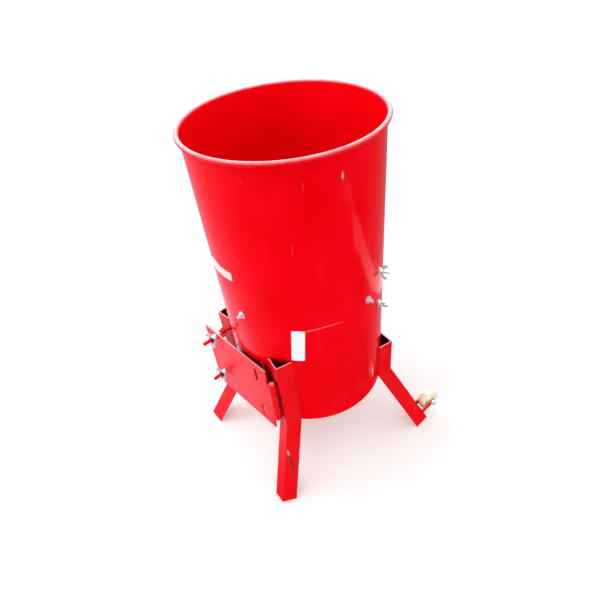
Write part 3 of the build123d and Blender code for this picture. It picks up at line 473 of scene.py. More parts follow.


# On the drum the painted highlight lies on the rim bead, above edge_z.
DRUM_RED = red_enamel("drum_enamel", peel=0.000008, ripple=0.0006, gloss=0.06, corner=0.035,
                      tint=(1.0, 0.35, 0.9, 1.0), edge_z=RIM_Z - RIM_R, edge_facing=(0.15, 0.85), edge_rough=0.34)
LEG_RED = red_enamel("leg_enamel", peel=0.00003, chips=0.40, gloss=0.2, corner=0.055)
PLATE_RED = red_enamel("plate_enamel", peel=0.00003, chips=0.36, gloss=0.22)
WELD_RED = red_enamel("weld_enamel", peel=0.00005, gloss=0.2)
ZINC = zinc_plate("zinc_finish")
STRAP_ZINC = zinc_plate("strap_finish", (0.95, 0.84, 0.83), (0.80, 0.70, 0.69), 0.34, 0.3)
BLACK_OXIDE_AND_SHADE = black_oxide()
STEEL = turned_steel("machined_finish")
BEARING = turned_steel("bearing_finish", (0.68, 0.68, 0.69), (0.55, 0.55, 0.56), 0.12)
BLADE = blade_steel()
CAST = cast_metal("cast_finish", (0.085, 0.085, 0.09))
HOUSING_RED = cast_metal("housing_finish", (0.55, 0.004, 0.006), 0.0002)
NYLON = cast_nylon()
VINYL = blank_vinyl()

FINISHES = {
    "red_paint": LEG_RED,
    "zinc": ZINC,
    "black_oxide": BLACK_OXIDE_AND_SHADE,
    "bearing_steel": BEARING,
    "machined_steel": STEEL,
    "blade_steel": BLADE,
    "cast_pulley": CAST,
    "nylon": NYLON,
    "label_vinyl": VINYL,
}
OWN_FINISHES = {
    "drum_shell": DRUM_RED,
    "floor_plate": DRUM_RED,
    "motor_plate": PLATE_RED,
    "counter_bars": DRUM_RED,
    "bearing_housing": HOUSING_RED,
    "wall_strap": STRAP_ZINC,
}
for node, thing in NODES.items():
    thing.data.materials.clear()
    thing.data.materials.append(OWN_FINISHES.get(node, FINISHES[SLOT_OF[node]]))


# ---------------------------------------------------------------- rolled and sawn edges
SHARP_ANGLE = 40  # edges that turn by more than this are rounded
LEG_EDGE_R = 0.0007
PLATE_EDGE_R = 0.0006


def soften(node, width):
    """Round a CAD node's sharp edges a little."""
    thing = NODES[node]
    merge = thing.modifiers.new("merge", "WELD")
    merge.merge_threshold = MERGE
    rounding = thing.modifiers.new("rounding", "BEVEL")
    rounding.width = width
    rounding.segments = 2
    rounding.limit_method = "ANGLE"
    rounding.angle_limit = radians(SHARP_ANGLE)
    rounding.use_clamp_overlap = True
    shading = thing.modifiers.new("shading", "WEIGHTED_NORMAL")
    shading.keep_sharp = False


LEGS = [name for name in sorted(NODES) if name.endswith("_leg")]
for node in LEGS:
    soften(node, LEG_EDGE_R)
soften("motor_plate", PLATE_EDGE_R)
soften("wheel_brackets", PLATE_EDGE_R)

# ---------------------------------------------------------------- fasteners
HEX_STEPS = 72
CHAMFER_SLOPE = 0.577  # 30 degrees
CHAMFER_R = 0.475  # radius of a turned end, in widths across flats
SINK = 0.8  # depth of a nut's countersink, in pitches


def hexagon(flats, low, high):
    """Rings of a hexagon whose ends are turned to a 30 degree chamfer."""
    face_r = CHAMFER_R * flats

    def corner(turn):
        return flats / 2 / cos((turn + pi / 6) % (pi / 3) - pi / 6)

    def fall(turn):
        return (corner(turn) - face_r) * CHAMFER_SLOPE

    return [
        ring(face_r, low, HEX_STEPS),
        ring(corner, lambda turn: low + fall(turn), HEX_STEPS),
        ring(corner, lambda turn: high - fall(turn), HEX_STEPS),
        ring(face_r, high, HEX_STEPS),
    ]


def hex_nut(size, height):
    """Chamfered nut on Z from 0, with a countersunk bore."""
    bore = size["radius"] + PLAY
    sink = SINK * size["pitch"]
    rings = [ring(bore, sink, HEX_STEPS), ring(bore + sink, 0, HEX_STEPS)]
    rings += hexagon(size["flats"], 0, height)
    rings += [ring(bore + sink, height, HEX_STEPS), ring(bore, height - sink, HEX_STEPS)]
    rings.append(rings[0])
    return closed_rings(rings, cap=False)


THREAD_STEPS = 24
THREAD_ROWS = 6  # rows of points for each turn of the thread
THREAD_DEPTH = 0.55  # in pitches
TIP_LENGTH = 1.2  # chamfered tip, in pitches
TIP_SLOPE = 0.8
DOME_R = 2.5  # radius of a domed head, in thread radii
POINT_R = 1e-5  # a pole's ring, never quite a point


def thread(size, low, high):
    """Rings of a threaded shank, with the tip chamfered."""
    pitch, radius = size["pitch"], size["radius"]
    depth = THREAD_DEPTH * pitch
    rows = max(2, ceil((high - low) / pitch * THREAD_ROWS))
    rings = []
    for row in range(rows + 1):
        z = low + (high - low) * row / rows
        tip = max(0.0, TIP_LENGTH * pitch - (high - z))

        def groove(turn):
            phase = (z / pitch - turn / (2 * pi)) % 1
            flank = min(1.0, max(0.0, 1.5 * abs(2 * phase - 1) - 0.25))
            return min(radius - depth * (1 - flank), radius - TIP_SLOPE * tip)

        rings.append(ring(groove, z, THREAD_STEPS))
    return rings


def stud(size, low, high):
    """Threaded rod on Z."""
    return closed_rings(thread(size, low, high))


def bolt(size, length, head, thread_length, domed=False):
    """Shapes of a bolt on Z: its head's outer face at 0, its threaded tip at its length."""
    if domed:
        rise = [radians(a) for a in range(0, 91, 10)]
        cap = lathe([(max(POINT_R, DOME_R * size["radius"] * sin(a)), head * (1 - cos(a))) for a in rise])
    else:
        cap = closed_rings(hexagon(size["flats"], 0, head))
    plain = lathe([(size["radius"], head / 2), (size["radius"], length - thread_length)], THREAD_STEPS)
    return [cap, plain, closed_rings(thread(size, length - thread_length, length))]


def recut(node, direction, shapes_for, material=ZINC):
    """Show every solid of a node as shapes made for its length, on its own axis.

    The direction is that axis, or a function that gives it from the solid's middle.
    """
    shapes = []
    for points in solids(node):
        axis = direction(sum(points, Vector()) / len(points)) if callable(direction) else direction
        place, length = seat(points, axis)
        shapes += [moved(shape, place) for shape in shapes_for(length)]
    stand_in(new_piece(node + "_cut", shapes, material), node)


def replace_bolts(node, size, direction, thread_length, head=None, domed=False):
    """Show every bolt of a node with a real head and thread. Its head is at the axis's low end."""
    recut(node, direction, lambda length: bolt(size, length, head or size["head"], thread_length, domed))


def replace_nuts(node, size, direction, material=ZINC):
    """Show every nut of a node with turned chamfers."""
    recut(node, direction, lambda height: [hex_nut(size, height)], material)


def from_wall(middle):
    """Axis of a fastener that goes through the drum's wall."""
    return wall_normal(azimuth_of(middle))


def along_axle(middle):
    """Axis of a wheel's axle, away from the middle of the machine."""
    return Vector((1 if middle.x > 0 else -1, 0, 0))


UP = Vector((0, 0, 1))
PLATE_AXIS = Vector(JOINTS["upper_outer_nut_turn"]["axis"])  # of the tension studs, out of the plate

replace_bolts("counter_bar_bolts", M8, from_wall, thread_length=0.020)
replace_nuts("counter_bar_nuts", M8, from_wall)
replace_bolts("clamp_bolts", M8, from_wall, thread_length=0.028, head=0.0045, domed=True)
replace_bolts("wheel_axles", M10, along_axle, thread_length=0.024)
replace_nuts("axle_nuts", M10, along_axle)
replace_bolts("knife_bolts", M10, -UP, thread_length=0.012)
replace_bolts("housing_bolts", M8, -UP, thread_length=0.016)
replace_nuts("housing_nuts", M8, UP)
replace_nuts("hub_nut", M16, UP)
replace_bolts("pulley_bolt", M8, UP, thread_length=0.016)
# The jam nuts are black oxide; their near black also serves as painted shade for the dark side of the wing nuts.
for place_word in ("upper", "lower"):
    replace_nuts(place_word + "_jam_nut", M12, PLATE_AXIS, BLACK_OXIDE_AND_SHADE)

stud_shapes = []
for points in solids("tension_studs"):
    place, length = seat(points, PLATE_AXIS)
    stud_shapes.append(moved(stud(M12, 0, length), place))
stand_in(new_piece("tension_studs_threaded", stud_shapes, WELD_RED, crease=60), "tension_studs")

# ---------------------------------------------------------------- wing nuts
WING_STEPS = 20  # rings along a wing
WING_SIDES = 16  # points round it
WING_TIP = 0.27  # radius of its round end, in heights
WING_BODY = 0.8  # share of its rings before the round end
WING_FLARE = 0.25  # how much thicker it is at the hub
OUTER_WING = {"hub_r": 0.0105, "hub_height": 0.010, "thickness": 0.004}
INNER_WING = {"hub_r": 0.010, "hub_height": 0.009, "thickness": 0.004}
CLAMP_WING = {"hub_r": 0.008, "hub_height": 0.009, "thickness": 0.0032}


def wing(hub_r, hub_height, span, height, thickness, side):
    """One wing: a flat rounded bar that leaves the hub, flares and ends round."""
    tip = WING_TIP * height
    root = Vector((side * 0.45 * hub_r, 0, 0.50 * hub_height))
    knee = Vector((side * (0.55 * hub_r + 0.22 * span), 0, 0.42 * height))
    end = Vector((side * (span / 2 - tip), 0, height - tip))
    rings = []
    for i in range(WING_STEPS + 1):
        t = i / WING_STEPS
        reach = min(1.0, t / WING_BODY)
        centre = root.lerp(knee, reach).lerp(knee.lerp(end, reach), reach)
        run = (knee.lerp(end, reach) - root.lerp(knee, reach)).normalized()
        across = Vector((-run.z, 0, run.x))
        half = 0.40 * hub_height * (1 - reach) + tip * reach
        past = max(0.0, (t - WING_BODY) / (1 - WING_BODY))
        close = sqrt(max(0.0004, 1 - past * past))
        centre = centre + run * tip * past
        deep = thickness / 2 * (1 + WING_FLARE * (1 - reach))
        loop = []
        for k in range(WING_SIDES):
            turn = 2 * pi * k / WING_SIDES
            c, s = cos(turn), sin(turn)
            wide = half * close * (abs(c) ** 0.8) * (1 if c > 0 else -1)
            thick = deep * close**0.5 * (abs(s) ** 0.6) * (1 if s > 0 else -1)
            loop.append(centre + across * wide + Vector((0, thick, 0)))
        rings.append(loop)
    return closed_rings(rings)


def forged_wing_nut(node, size, direction, hub_r, hub_height, thickness):
    """Show a wing nut with a forged hub and rounded wings, turned as its CAD solid is."""
    bore = size["radius"] + PLAY
    points = solids(node)[0]
    place, height = seat(points, direction)
    axis_point = place.translation
    axis = Vector(direction).normalized()

    def off_axis(point):
        gap = point - axis_point
        return gap - axis * gap.dot(axis)

    far = max(points, key=lambda point: off_axis(point).length)
    middle = axis_matrix(axis_point, axis, off_axis(far).normalized())
    span = 2 * off_axis(far).length
    round_off = 0.12 * hub_r
    profile = [
        (bore, 0.0),
        (hub_r - round_off, 0.0),
        (hub_r, round_off),
        (0.98 * hub_r, 0.25 * hub_height),
        (0.84 * hub_r, 0.60 * hub_height),
        (0.78 * hub_r, hub_height - round_off),
        (0.72 * hub_r, hub_height),
        (bore + 0.5 * round_off, hub_height),
        (bore, hub_height - 0.5 * round_off),
        (bore, 0.0),
    ]
    shapes = [lathe(profile, cap=False)]
    shapes += [wing(hub_r, hub_height, span, height, thickness, side) for side in (1, -1)]
    stand_in(new_piece(node + "_forged", [moved(s, middle) for s in shapes], ZINC, crease=50), node)


for place_word in ("upper", "lower"):
    clamp_axis = Vector(JOINTS[place_word + "_clamp_nut_turn"]["axis"])
    forged_wing_nut(place_word + "_outer_wing_nut", M12, PLATE_AXIS, **OUTER_WING)
    forged_wing_nut(place_word + "_inner_wing_nut", M12, -PLATE_AXIS, **INNER_WING)
    forged_wing_nut(place_word + "_clamp_wing_nut", M8, clamp_axis, **CLAMP_WING)

# ---------------------------------------------------------------- welds
WELD_CREASE = 80
BEAD_SIDES = 12
BEAD_CROWN = 0.75  # height, in radii
BEAD_TAPER = 1.6  # length of its tapered ends, in radii
BEAD_END = 0.25  # size at its very ends
BEAD_OFF = 0.0006  # of its middle from the surface
RIPPLE = 0.0022  # distance from one weld ripple to the next


def resampled(path, step):
    """Evenly spaced points along a broken line, each with its distance from the start."""
    spots, done = [], 0.0
    for a, b in zip(path, path[1:]):
        length = (b - a).length
        count = max(1, round(length / step))
        spots += [(a.lerp(b, i / count), done + length * i / count) for i in range(count)]
        done += length
    return spots + [(path[-1], done)]


def weld_bead(path, radius, normal_at, seed):
    """Shape of a weld along a path: a half-sunk bead with crescent ripples and tapered ends."""
    spots = resampled(path, RIPPLE / 4)
    total = spots[-1][1]
    rings = []
    for i, (spot, s) in enumerate(spots):
        before = spots[max(0, i - 1)][0]
        after = spots[min(len(spots) - 1, i + 1)][0]
        run = (after - before).normalized()
        up = normal_at(spot)
        up = (up - run * up.dot(run)).normalized()
        side = run.cross(up)
        ends = min(1.0, min(s, total - s) / (BEAD_TAPER * radius) + BEAD_END)
        wander = noise.noise(Vector((s * 90, seed, 0)))
        loop = []
        for k in range(BEAD_SIDES):
            turn = 2 * pi * k / BEAD_SIDES
            ripple = abs(sin(pi * (s / RIPPLE - 0.5 * cos(turn))))
            r = radius * ends * (0.84 + 0.16 * ripple + 0.10 * wander)
            loop.append(spot + (up * cos(turn) * BEAD_CROWN + side * sin(turn)) * r)
        rings.append(loop)
    return closed_rings(rings)


def away_from_axis(spot):
    """Direction away from the drum's axis."""
    return Vector((spot.x, spot.y, 0)).normalized()


# Along both toes of each leg, where they meet the wall.
LEG_BEAD_R = 0.0034
TOE_REACH = 0.0362  # leg's middle to the weld, along the wall
leg_welds = []
for seed, node in enumerate(LEGS):
    corner = max((v.co for v in NODES[node].data.vertices), key=lambda co: hypot(co.x, co.y))
    middle_azimuth = azimuth_of(corner)
    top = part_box(node)[1].z
    for side in (1, -1):
        toe_azimuth = middle_azimuth + side * degrees(TOE_REACH / wall_radius(top))
        line = [wall_point(toe_azimuth, z, BEAD_OFF) for z in (DRUM_Z + 0.012, top - 0.004)]
        leg_welds.append(weld_bead(line, LEG_BEAD_R, away_from_axis, seed + 0.5 * side))
fixture(new_piece("leg_welds", leg_welds, WELD_RED, WELD_CREASE))

# Round the floor plate, inside the drum, above and below.
FLOOR_BEAD_R = 0.0028
floor_low, floor_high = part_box("floor_plate")
floor_welds = []
for z, seed in ((floor_high.z + BEAD_OFF, 11), (floor_low.z - BEAD_OFF, 12)):
    inner = wall_radius(z) - SHEET - 0.0008
    circle = [outward(a) * inner + Vector((0, 0, z)) for a in range(0, 361, 3)]
    floor_welds.append(weld_bead(circle, FLOOR_BEAD_R, lambda spot: -away_from_axis(spot), seed))
fixture(new_piece("floor_weld", floor_welds, WELD_RED, WELD_CREASE))

# The drum's own seam, on the side away from the motor plate.
SEAM_AZIMUTH = 178.0
SEAM_BEAD_R = 0.0022
seam = [wall_point(SEAM_AZIMUTH, z, -0.0001) for z in (DRUM_Z + 0.002, RIM_Z - 0.010)]
fixture(new_piece("drum_seam_weld", [weld_bead(seam, SEAM_BEAD_R, away_from_axis, 21)], WELD_RED, WELD_CREASE))

# The hinge's outer knuckles, on the right motor leg.
HINGE = Vector(JOINTS["motor_plate_hinge"]["pos_m"])
KNUCKLE_BEAD_R = 0.0026
KNUCKLE_BEAD_APART = 0.006  # from the line between hinge and leg


def nearest_on(node, point):
    """Nearest point of a CAD node's skin, and its normal."""
    return NODES[node].closest_point_on_mesh(point)[1:3]


hinge_welds = []
for points in solids("hinge_frame_knuckles"):
    low, high = min(p.z for p in points), max(p.z for p in points)
    spot = nearest_on("right_motor_leg", Vector((HINGE.x, HINGE.y, high)))[0]
    line = [Vector((spot.x, spot.y, z)) for z in (low + 0.004, high - 0.004)]
    away = (Vector((HINGE.x, HINGE.y, 0)) - Vector((spot.x, spot.y, 0))).normalized()
    across = Vector((-away.y, away.x, 0))
    for side in (1, -1):
        beside = [p + across * side * KNUCKLE_BEAD_APART + away * 0.001 for p in line]
        hinge_welds.append(weld_bead(beside, KNUCKLE_BEAD_R, lambda p: (away + across * side).normalized(),
                                     low * 50 + side))
fixture(new_piece("hinge_welds", hinge_welds, WELD_RED, WELD_CREASE))

# The plate's edge to the hinge's middle knuckle.
TAB_BEAD_HALF = 0.021  # half its length
TAB_BEAD_R = 0.0021
TAB_HALF = 0.0022  # half the tab's thickness, where the bead's middle lies
tab_low, tab_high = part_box("hinge_plate_knuckle")
tab_z = (tab_low.z + tab_high.z) / 2
tab_spot = nearest_on("motor_plate", Vector((HINGE.x, HINGE.y, tab_z)))[0]
tab_welds = []
for side in (1, -1):
    line = [Vector((tab_spot.x, tab_spot.y, tab_z + h)) + PLATE_AXIS * side * TAB_HALF
            for h in (-TAB_BEAD_HALF, TAB_BEAD_HALF)]
    tab_welds.append(weld_bead(line, TAB_BEAD_R, lambda spot: PLATE_AXIS * side, 31 + side))
fixture(new_piece("hinge_tab_weld", tab_welds, WELD_RED, WELD_CREASE), "motor_plate")

# Each stud's root, on the left motor leg.
STUD_RING_R = M12["radius"] + 0.0005
STUD_BEAD_R = 0.0022
STUD_ROOT = 0.12  # share of the stud's length that the leg hides
stud_welds = []
for points in solids("tension_studs"):
    place, length = seat(points, PLATE_AXIS)
    for end in (0.0, 1.0):
        spot = nearest_on("left_motor_leg", place @ Vector((0, 0, length * STUD_ROOT * end)))[0]
        centre = place.translation + PLATE_AXIS * (spot - place.translation).dot(PLATE_AXIS)
        loop = [centre + (place.to_3x3() @ Vector((cos(t), sin(t), 0))) * STUD_RING_R
                for t in (2 * pi * k / 24 for k in range(25))]
        stud_welds.append(weld_bead(loop, STUD_BEAD_R, lambda s: (s - centre).normalized(), 40 + end))
fixture(new_piece("stud_welds", stud_welds, WELD_RED, WELD_CREASE))

# Wheel brackets, on the rear legs.
EAR_BEAD_R = 0.002
ear_welds = []
axle_y, axle_z = JOINTS["right_wheel_spin"]["pos_m"][1:]
for points in solids("wheel_brackets"):
    near_x, far_x = min(p.x for p in points), max(p.x for p in points)
    leg = "right_rear_leg" if near_x > 0 else "left_rear_leg"
    axle = Vector(((near_x + far_x) / 2, axle_y, axle_z))
    down = nearest_on(leg, axle)[0] - axle
    down = Vector((0, down.y, down.z)).normalized()
    along = Vector((0, -down.z, down.y))
    reach = max(p.dot(down) for p in points)
    base = [p for p in points if p.dot(down) > reach - 0.0006]
    ends = (min(base, key=along.dot), max(base, key=along.dot))
    for face_x, out in ((near_x, -1), (far_x, 1)):
        line = [Vector((face_x, p.y, p.z)) for p in ends]
        ear_welds.append(weld_bead(line, EAR_BEAD_R, lambda s: (Vector((out, 0, 0)) - down).normalized(),
                                   50 + out))
fixture(new_piece("bracket_welds", ear_welds, WELD_RED, WELD_CREASE))

# ---------------------------------------------------------------- marks on the drum
MARK_CREASE = 60
PATCH_LIFT = 0.00012  # off the wall
PATCH_STEPS = 28  # points round it


def wall_patch(azimuth, z, width, height, tilt):
    """Shape of a thin oval patch that lies on the wall, tilted in degrees towards growing azimuth."""
    rings = []
    lean = radians(tilt)
    for scale, out in ((1.0, 0.0), (0.92, 1.0), (0.45, 1.0), (0.02, 1.0)):
        loop = []
        for i in range(PATCH_STEPS):
            turn = 2 * pi * i / PATCH_STEPS
            rough = 1 + 0.12 * sin(3 * turn + azimuth) + 0.07 * sin(5 * turn + z * 40)
            x = width / 2 * cos(turn) * scale * rough
            y = height / 2 * sin(turn) * scale * rough
            across, up = x * cos(lean) + y * sin(lean), y * cos(lean) - x * sin(lean)
            loop.append(wall_point(azimuth + degrees(across / wall_radius(z)), z + up, PATCH_LIFT * out))
        rings.append(loop)
    return closed_rings(rings)


def scuff_and_painted_light_finish(name, middle, rim, across=0.5):
    """Spot, pale in its middle and darker at its rim: used both for scraped paint, dark where it has broken off, and
    for painted highlights and reflections.
    """
    p = Paints(name)
    away = p.add("ShaderNodeVectorMath", operation="DISTANCE")
    p.feed(away.inputs[0], p.coordinates["Generated"])
    away.inputs[1].default_value = (0.5, 0.5, 0.5)
    ragged = p.math("ADD", away.outputs["Value"], p.spread(p.noise(700.0, 4.0), 0.3, 0.7, -0.14, 0.14))
    colour = p.mix(p.spread(ragged, across - 0.2, across + 0.12), middle, rim)
    p.set(base_color=colour, roughness=p.spread(p.noise(500.0), 0.3, 0.7, 0.3, 0.6))
    p.bump((p.noise(900.0, 3.0), 0.0001))
    return p.material


CHIP = scuff_and_painted_light_finish("chip_scuff", (0.62, 0.34, 0.30), (0.05, 0.008, 0.008))
# The pale streak by the rear leg is a painted reflection on the drum's wall.
PAINTED_REFLECTION_STREAK = scuff_and_painted_light_finish("painted_reflection_streak", (0.93, 0.58, 0.42), (0.55, 0.05, 0.03), 0.6)
FAINT = scuff_and_painted_light_finish("faint_scuff", (0.82, 0.05, 0.06), (0.74, 0.008, 0.02))
# pale painted highlight along the sheet's fold
PAINTED_FOLD_HIGHLIGHT = scuff_and_painted_light_finish("fold_painted_highlight", (0.86, 0.11, 0.10), (0.62, 0.02, 0.025), 0.7)
BROWN = scuff_and_painted_light_finish("brown_scuff", (0.12, 0.025, 0.015), (0.45, 0.01, 0.012), 0.6)
MARKS = {  # each patch's azimuth, height above the floor, width, height and tilt
    "chip_under_rim": (CHIP, [(84.5, 1.043, 0.0075, 0.021, 14)]),
    "painted_reflection_by_rear_leg": (PAINTED_REFLECTION_STREAK, [(110.5, 0.329, 0.007, 0.052, 6)]),
    "faint_scratches": (FAINT, [(33.0, 1.063, 0.0016, 0.020, -30), (34.4, 1.052, 0.0012, 0.012, -30),
                                (63.5, 1.042, 0.0014, 0.024, -8), (54.5, 0.888, 0.0014, 0.030, 4),
                                (72.0, 0.300, 0.0022, 0.028, 72), (80.0, 0.309, 0.0022, 0.030, 72),
                                (90.0, 0.318, 0.0020, 0.034, 66), (99.0, 0.314, 0.003, 0.030, 40)]),
}
for name, (finish, spots) in MARKS.items():
    fixture(new_piece(name, [wall_patch(*spot) for spot in spots], finish, MARK_CREASE))

# Fold in the sheet, where it was once dented; its pale colour is a painted highlight along the fold.
FOLD_R = 0.0017
FOLD_FADE = 0.05  # length over which it fades at each end
FOLD_SIDES = 10
FOLD = ((44.5, 0.6272), (50, 0.6275), (56, 0.6276), (62, 0.6298), (68, 0.6316), (73, 0.6322),
        (78, 0.6305), (83.5, 0.6282))  # azimuths and heights


def folded(path):
    """Shape of a thin smooth ridge that fades at both ends."""
    spots = resampled(path, 0.004)
    total = spots[-1][1]
    rings = []
    for spot, s in spots:
        fade = min(1.0, min(s, total - s) / FOLD_FADE) ** 0.6 + 0.05
        out = away_from_axis(spot)
        rings.append([spot + (out * cos(t) + Vector((0, 0, 1)) * sin(t)) * FOLD_R * fade
                      for t in (2 * pi * k / FOLD_SIDES for k in range(FOLD_SIDES))])
    return closed_rings(rings)


fixture(new_piece("sheet_fold", [folded([wall_point(a, z, -0.0005) for a, z in FOLD])], PAINTED_FOLD_HIGHLIGHT, WELD_CREASE))

# Weld spatter beside the left motor leg.
SPATTER_COUNT = 26
SPATTER_AZIMUTH = (-12.0, 4.5)  # middle and spread
SPATTER_RISE = (0.10, 0.31)  # from the drum's bottom
SPATTER_R = (0.0006, 0.0019)
random.seed(41)
spatter = []
for drop in range(SPATTER_COUNT):
    azimuth = random.gauss(*SPATTER_AZIMUTH)
    z = DRUM_Z + random.uniform(*SPATTER_RISE)
    size = random.uniform(*SPATTER_R)
    rise = [radians(a) for a in range(0, 181, 20)]
    ball = lathe([(max(POINT_R, size * sin(a)), -size * cos(a)) for a in rise], 10)
    spatter.append(moved(ball, Matrix.Translation(wall_point(azimuth, z, size * 0.2))))
fixture(new_piece("weld_spatter", spatter, WELD_RED, WELD_CREASE))

# Scrape down the right motor leg's outer face: a bare head, then a brown tail.
leg_low, leg_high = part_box("right_motor_leg")
HEAD = (0.59, 0.48, 0.325)  # shares of the leg's box
TAIL_END = (0.78, 0.475, 0.177)
LEG_LOOK = Vector((0.2, 0, 0.07))  # outwards from that face


def on_leg(shares):
    """Point on the leg's outer face from shares of its box, and the face's normal."""
    at = Vector([low + share * (high - low) for low, high, share in zip(leg_low, leg_high, shares)])
    return nearest_on("right_motor_leg", at + LEG_LOOK * 0.1)


OVAL_STEPS = 24


def face_oval(middle, along, normal, length, width, lift=0.00015):
    """Shape of a thin ragged oval on a flat face."""
    side = normal.cross(along).normalized()
    rings = []
    for scale, out in ((1.0, -1.0), (0.94, 1.0), (0.4, 1.0), (0.02, 1.0)):
        loop = []
        for i in range(OVAL_STEPS):
            turn = 2 * pi * i / OVAL_STEPS
            ragged = scale * (1 + 0.15 * sin(3 * turn) + 0.06 * sin(7 * turn))
            loop.append(middle + normal * lift * out + along * (length / 2 * sin(turn) * ragged)
                        + side * (width / 2 * cos(turn) * ragged))
        rings.append(loop)
    return closed_rings(rings)


head, face_normal = on_leg(HEAD)
tail, face_normal = on_leg(TAIL_END)
slope = (tail - head).normalized()
scrape_length = (tail - head).length
fixture(new_piece("leg_scrape_head", [face_oval(head + slope * 0.004, slope, face_normal, 0.030, 0.009)],
                  CHIP, MARK_CREASE))
fixture(new_piece("leg_scrape_tail",
                  [face_oval(head.lerp(tail, 0.45), slope, face_normal, 0.9 * scrape_length, 0.0075, 0.0001),
                   face_oval(head.lerp(tail, 0.85), slope, face_normal, 0.4 * scrape_length, 0.0035, 0.00013)],
                  BROWN, MARK_CREASE))

# ---------------------------------------------------------------- stage, lights and camera
FLOOR_SIZE = 30.0
bpy.ops.mesh.primitive_plane_add(size=FLOOR_SIZE, location=(0, 0, 0))
floor = bpy.context.object
floor.name = "studio_floor"
floor.data.materials.append(floor_paper())

CAMERA_AT = Vector((0.9854, -0.6278, 1.5235))
CAMERA_LOOK = Vector((-0.64840, 0.40341, -0.64562))
CAMERA_RIGHT = Vector((0.59337, 0.79911, -0.09661))
CAMERA_LENS = 29.85  # mm, on the sensor's width
SENSOR_WIDTH = 36.0
camera_data = bpy.data.cameras.new("camera")
camera_data.sensor_width = SENSOR_WIDTH
camera_data.lens = CAMERA_LENS
camera = bpy.data.objects.new("camera", camera_data)
camera.matrix_world = axis_matrix(CAMERA_AT, -CAMERA_LOOK, CAMERA_RIGHT)
bpy.context.scene.collection.objects.link(camera)
bpy.context.scene.camera = camera

MIDDLE = Vector((0, 0, 0.6))  # of the machine


def skyward(azimuth, elevation):
    """Unit vector at an azimuth and an elevation."""
    return outward(azimuth) * cos(radians(elevation)) + Vector((0, 0, sin(radians(elevation))))


def softbox(name, azimuth, elevation, distance, side, power):
    """Square light that looks at the machine's middle."""
    light = bpy.data.lights.new(name, "AREA")
    light.shape = "RECTANGLE"
    light.size, light.size_y = side, side
    light.energy = power
    lamp = bpy.data.objects.new(name, light)
    away = skyward(azimuth, elevation)
    lamp.location = MIDDLE + away * distance
    lamp.rotation_euler = (-away).to_track_quat("-Z", "Y").to_euler()
    lamp.visible_camera = False
    bpy.context.scene.collection.objects.link(lamp)


def glowing(name, tree_for):
    """Emission material whose strength and colour come from a function of its nodes."""
    p = Paints(name)
    p.tree.nodes.remove(p.shader)
    glow = p.add("ShaderNodeEmission")
    colour, strength = tree_for(p)
    p.feed(glow.inputs["Color"], colour)
    p.feed(glow.inputs["Strength"], strength)
    p.tree.links.new(glow.outputs[0], p.tree.nodes["Material Output"].inputs["Surface"])
    return p.material


def mirror_card(name, corners, material, faces=None):
    """Card that is only there for mirror reflections, as a flag or a reflector in a studio."""
    mesh = bpy.data.meshes.new(name)
    mesh.from_pydata([Vector(corner) for corner in corners], [], faces or [tuple(range(len(corners)))])
    mesh.materials.append(material)
    card = bpy.data.objects.new(name, mesh)
    bpy.context.scene.collection.objects.link(card)
    card.visible_camera = False
    card.visible_diffuse = False
    card.visible_transmission = False
    card.visible_volume_scatter = False
    card.visible_shadow = False


# What the glossy paint mirrors from the ground: brightness by azimuth. The camera doesn't see it.
GROUND_GLOW = [
    (-180, 0.42),
    (-150, 0.50),
    (-120, 0.80),
    (-70, 1.05),
    (-30, 1.08),
    (-12, 0.60),
    (14, 0.18),
    (40, 0.04),
    (135, 0.04),
    (152, 0.22),
    (180, 0.42),
]


def ground_glow(p):
    """Glow of the ground card: by azimuth round the machine, and weaker far away."""
    x, y = p.split()[:2]
    turn = p.math("ARCTAN2", x, p.math("MULTIPLY", y, -1.0))
    ramp = p.add("ShaderNodeValToRGB")
    p.feed(ramp.inputs["Fac"], p.spread(turn, -pi, pi))
    stops = ramp.color_ramp.elements
    while len(stops) < len(GROUND_GLOW):
        stops.new(0.5)
    for stop, (azimuth, level) in zip(stops, GROUND_GLOW):
        stop.position = (azimuth + 180) / 360
        stop.color = (level, level, level, 1)
    far = p.spread(p.from_axis(), 0.7, 1.5, 1.1, 0.6)
    return (0.92, 0.92, 1.12, 1.0), p.math("MULTIPLY", ramp.outputs["Color"], far)


def strip_glow(p):
    """Glow of the pale strip on the ground beside the machine."""
    return p.mix(p.noise(3.0), (1.0, 0.93, 0.95), (0.9, 0.84, 0.88)), 1.6


def roof_glow(p):
    """Glow of the roof card, whose reflection draws the pale lines on upward edges."""
    return p.mix(p.noise(1.0), (1.0, 0.97, 0.98), (0.9, 0.93, 0.96)), p.spread(p.split()[2], 1.2, 3.6, 1.5, 22.0)


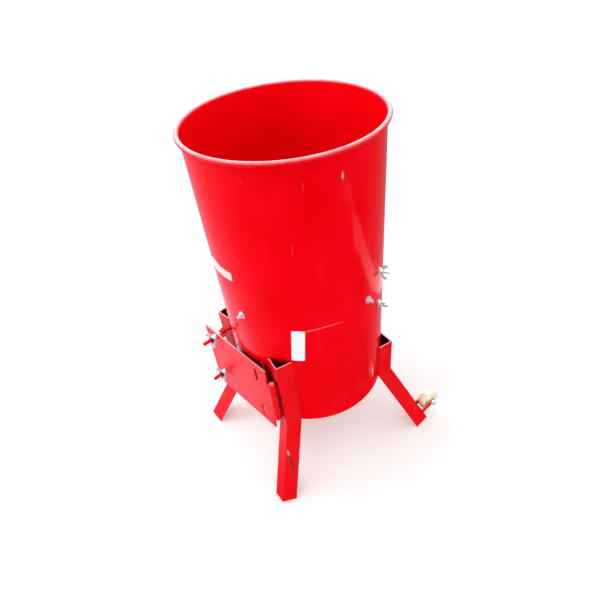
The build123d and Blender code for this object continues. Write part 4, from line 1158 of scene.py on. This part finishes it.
GROUND_REACH = 9.0
GROUND_CARD_Z = 0.002
STRIP_Z = 0.004
mirror_card("ground_card", [(GROUND_REACH * c, GROUND_REACH * d, GROUND_CARD_Z)
                            for c, d in ((-1, -1), (1, -1), (1, 1), (-1, 1))],
            glowing("ground_card_glow", ground_glow))
STRIP = [(1.95, 0.78), (1.90, 0.93), (1.55, 1.07), (1.10, 1.11), (0.76, 1.07), (0.40, 1.04), (0.0, 0.98),
         (-0.30, 0.86), (-0.30, 0.78), (0.10, 0.83), (0.60, 0.86), (1.06, 0.88), (1.20, 0.88), (1.40, 0.72),
         (1.26, 1.00), (1.51, 0.91)]
mirror_card("ground_strip", [(x, y, STRIP_Z) for x, y in STRIP], glowing("ground_strip_glow", strip_glow))
ROOF_DISTANCE = 4.0
ROOF_COLUMNS = range(185, 291, 15)  # azimuths
ROOF_ROWS = range(12, 88, 15)  # elevations
roof_points = [MIDDLE + ROOF_DISTANCE * skyward(a, e) for e in ROOF_ROWS for a in ROOF_COLUMNS]
across = len(ROOF_COLUMNS)
roof_faces = [(r * across + c, r * across + c + 1, (r + 1) * across + c + 1, (r + 1) * across + c)
              for r in range(len(ROOF_ROWS) - 1) for c in range(across - 1)]
mirror_card("roof_card", roof_points, glowing("roof_card_glow", roof_glow), roof_faces)

softbox("key", azimuth=-35, elevation=48, distance=3.0, side=1.6, power=20)
softbox("drum_fill", azimuth=0, elevation=90, distance=0.75, side=0.42, power=0.55)


AIR_AZIMUTH = -40  # where the surroundings are brightest
AIR_LEVELS = (0.97, 1.15)  # darkest and brightest


def studio_air():
    """Even white surroundings, a little brighter on the left of the picture."""
    world = bpy.data.worlds.new("studio_air")
    world.use_nodes = True
    tree = world.node_tree
    background = tree.nodes["Background"]
    background.inputs["Color"].default_value = (1.0, 1.0, 1.0, 1.0)
    place = tree.nodes.new("ShaderNodeTexCoord")
    towards = tree.nodes.new("ShaderNodeVectorMath")
    towards.operation = "DOT_PRODUCT"
    tree.links.new(place.outputs["Generated"], towards.inputs[0])
    towards.inputs[1].default_value = outward(AIR_AZIMUTH)
    level = tree.nodes.new("ShaderNodeMapRange")
    tree.links.new(towards.outputs["Value"], level.inputs["Value"])
    for name, number in zip(("From Min", "From Max", "To Min", "To Max"), (-1.0, 1.0, *AIR_LEVELS)):
        level.inputs[name].default_value = number
    tree.links.new(level.outputs["Result"], background.inputs["Strength"])
    bpy.context.scene.world = world


studio_air()
bpy.context.scene.view_settings.view_transform = "Standard"
bpy.context.scene.view_settings.look = "None"
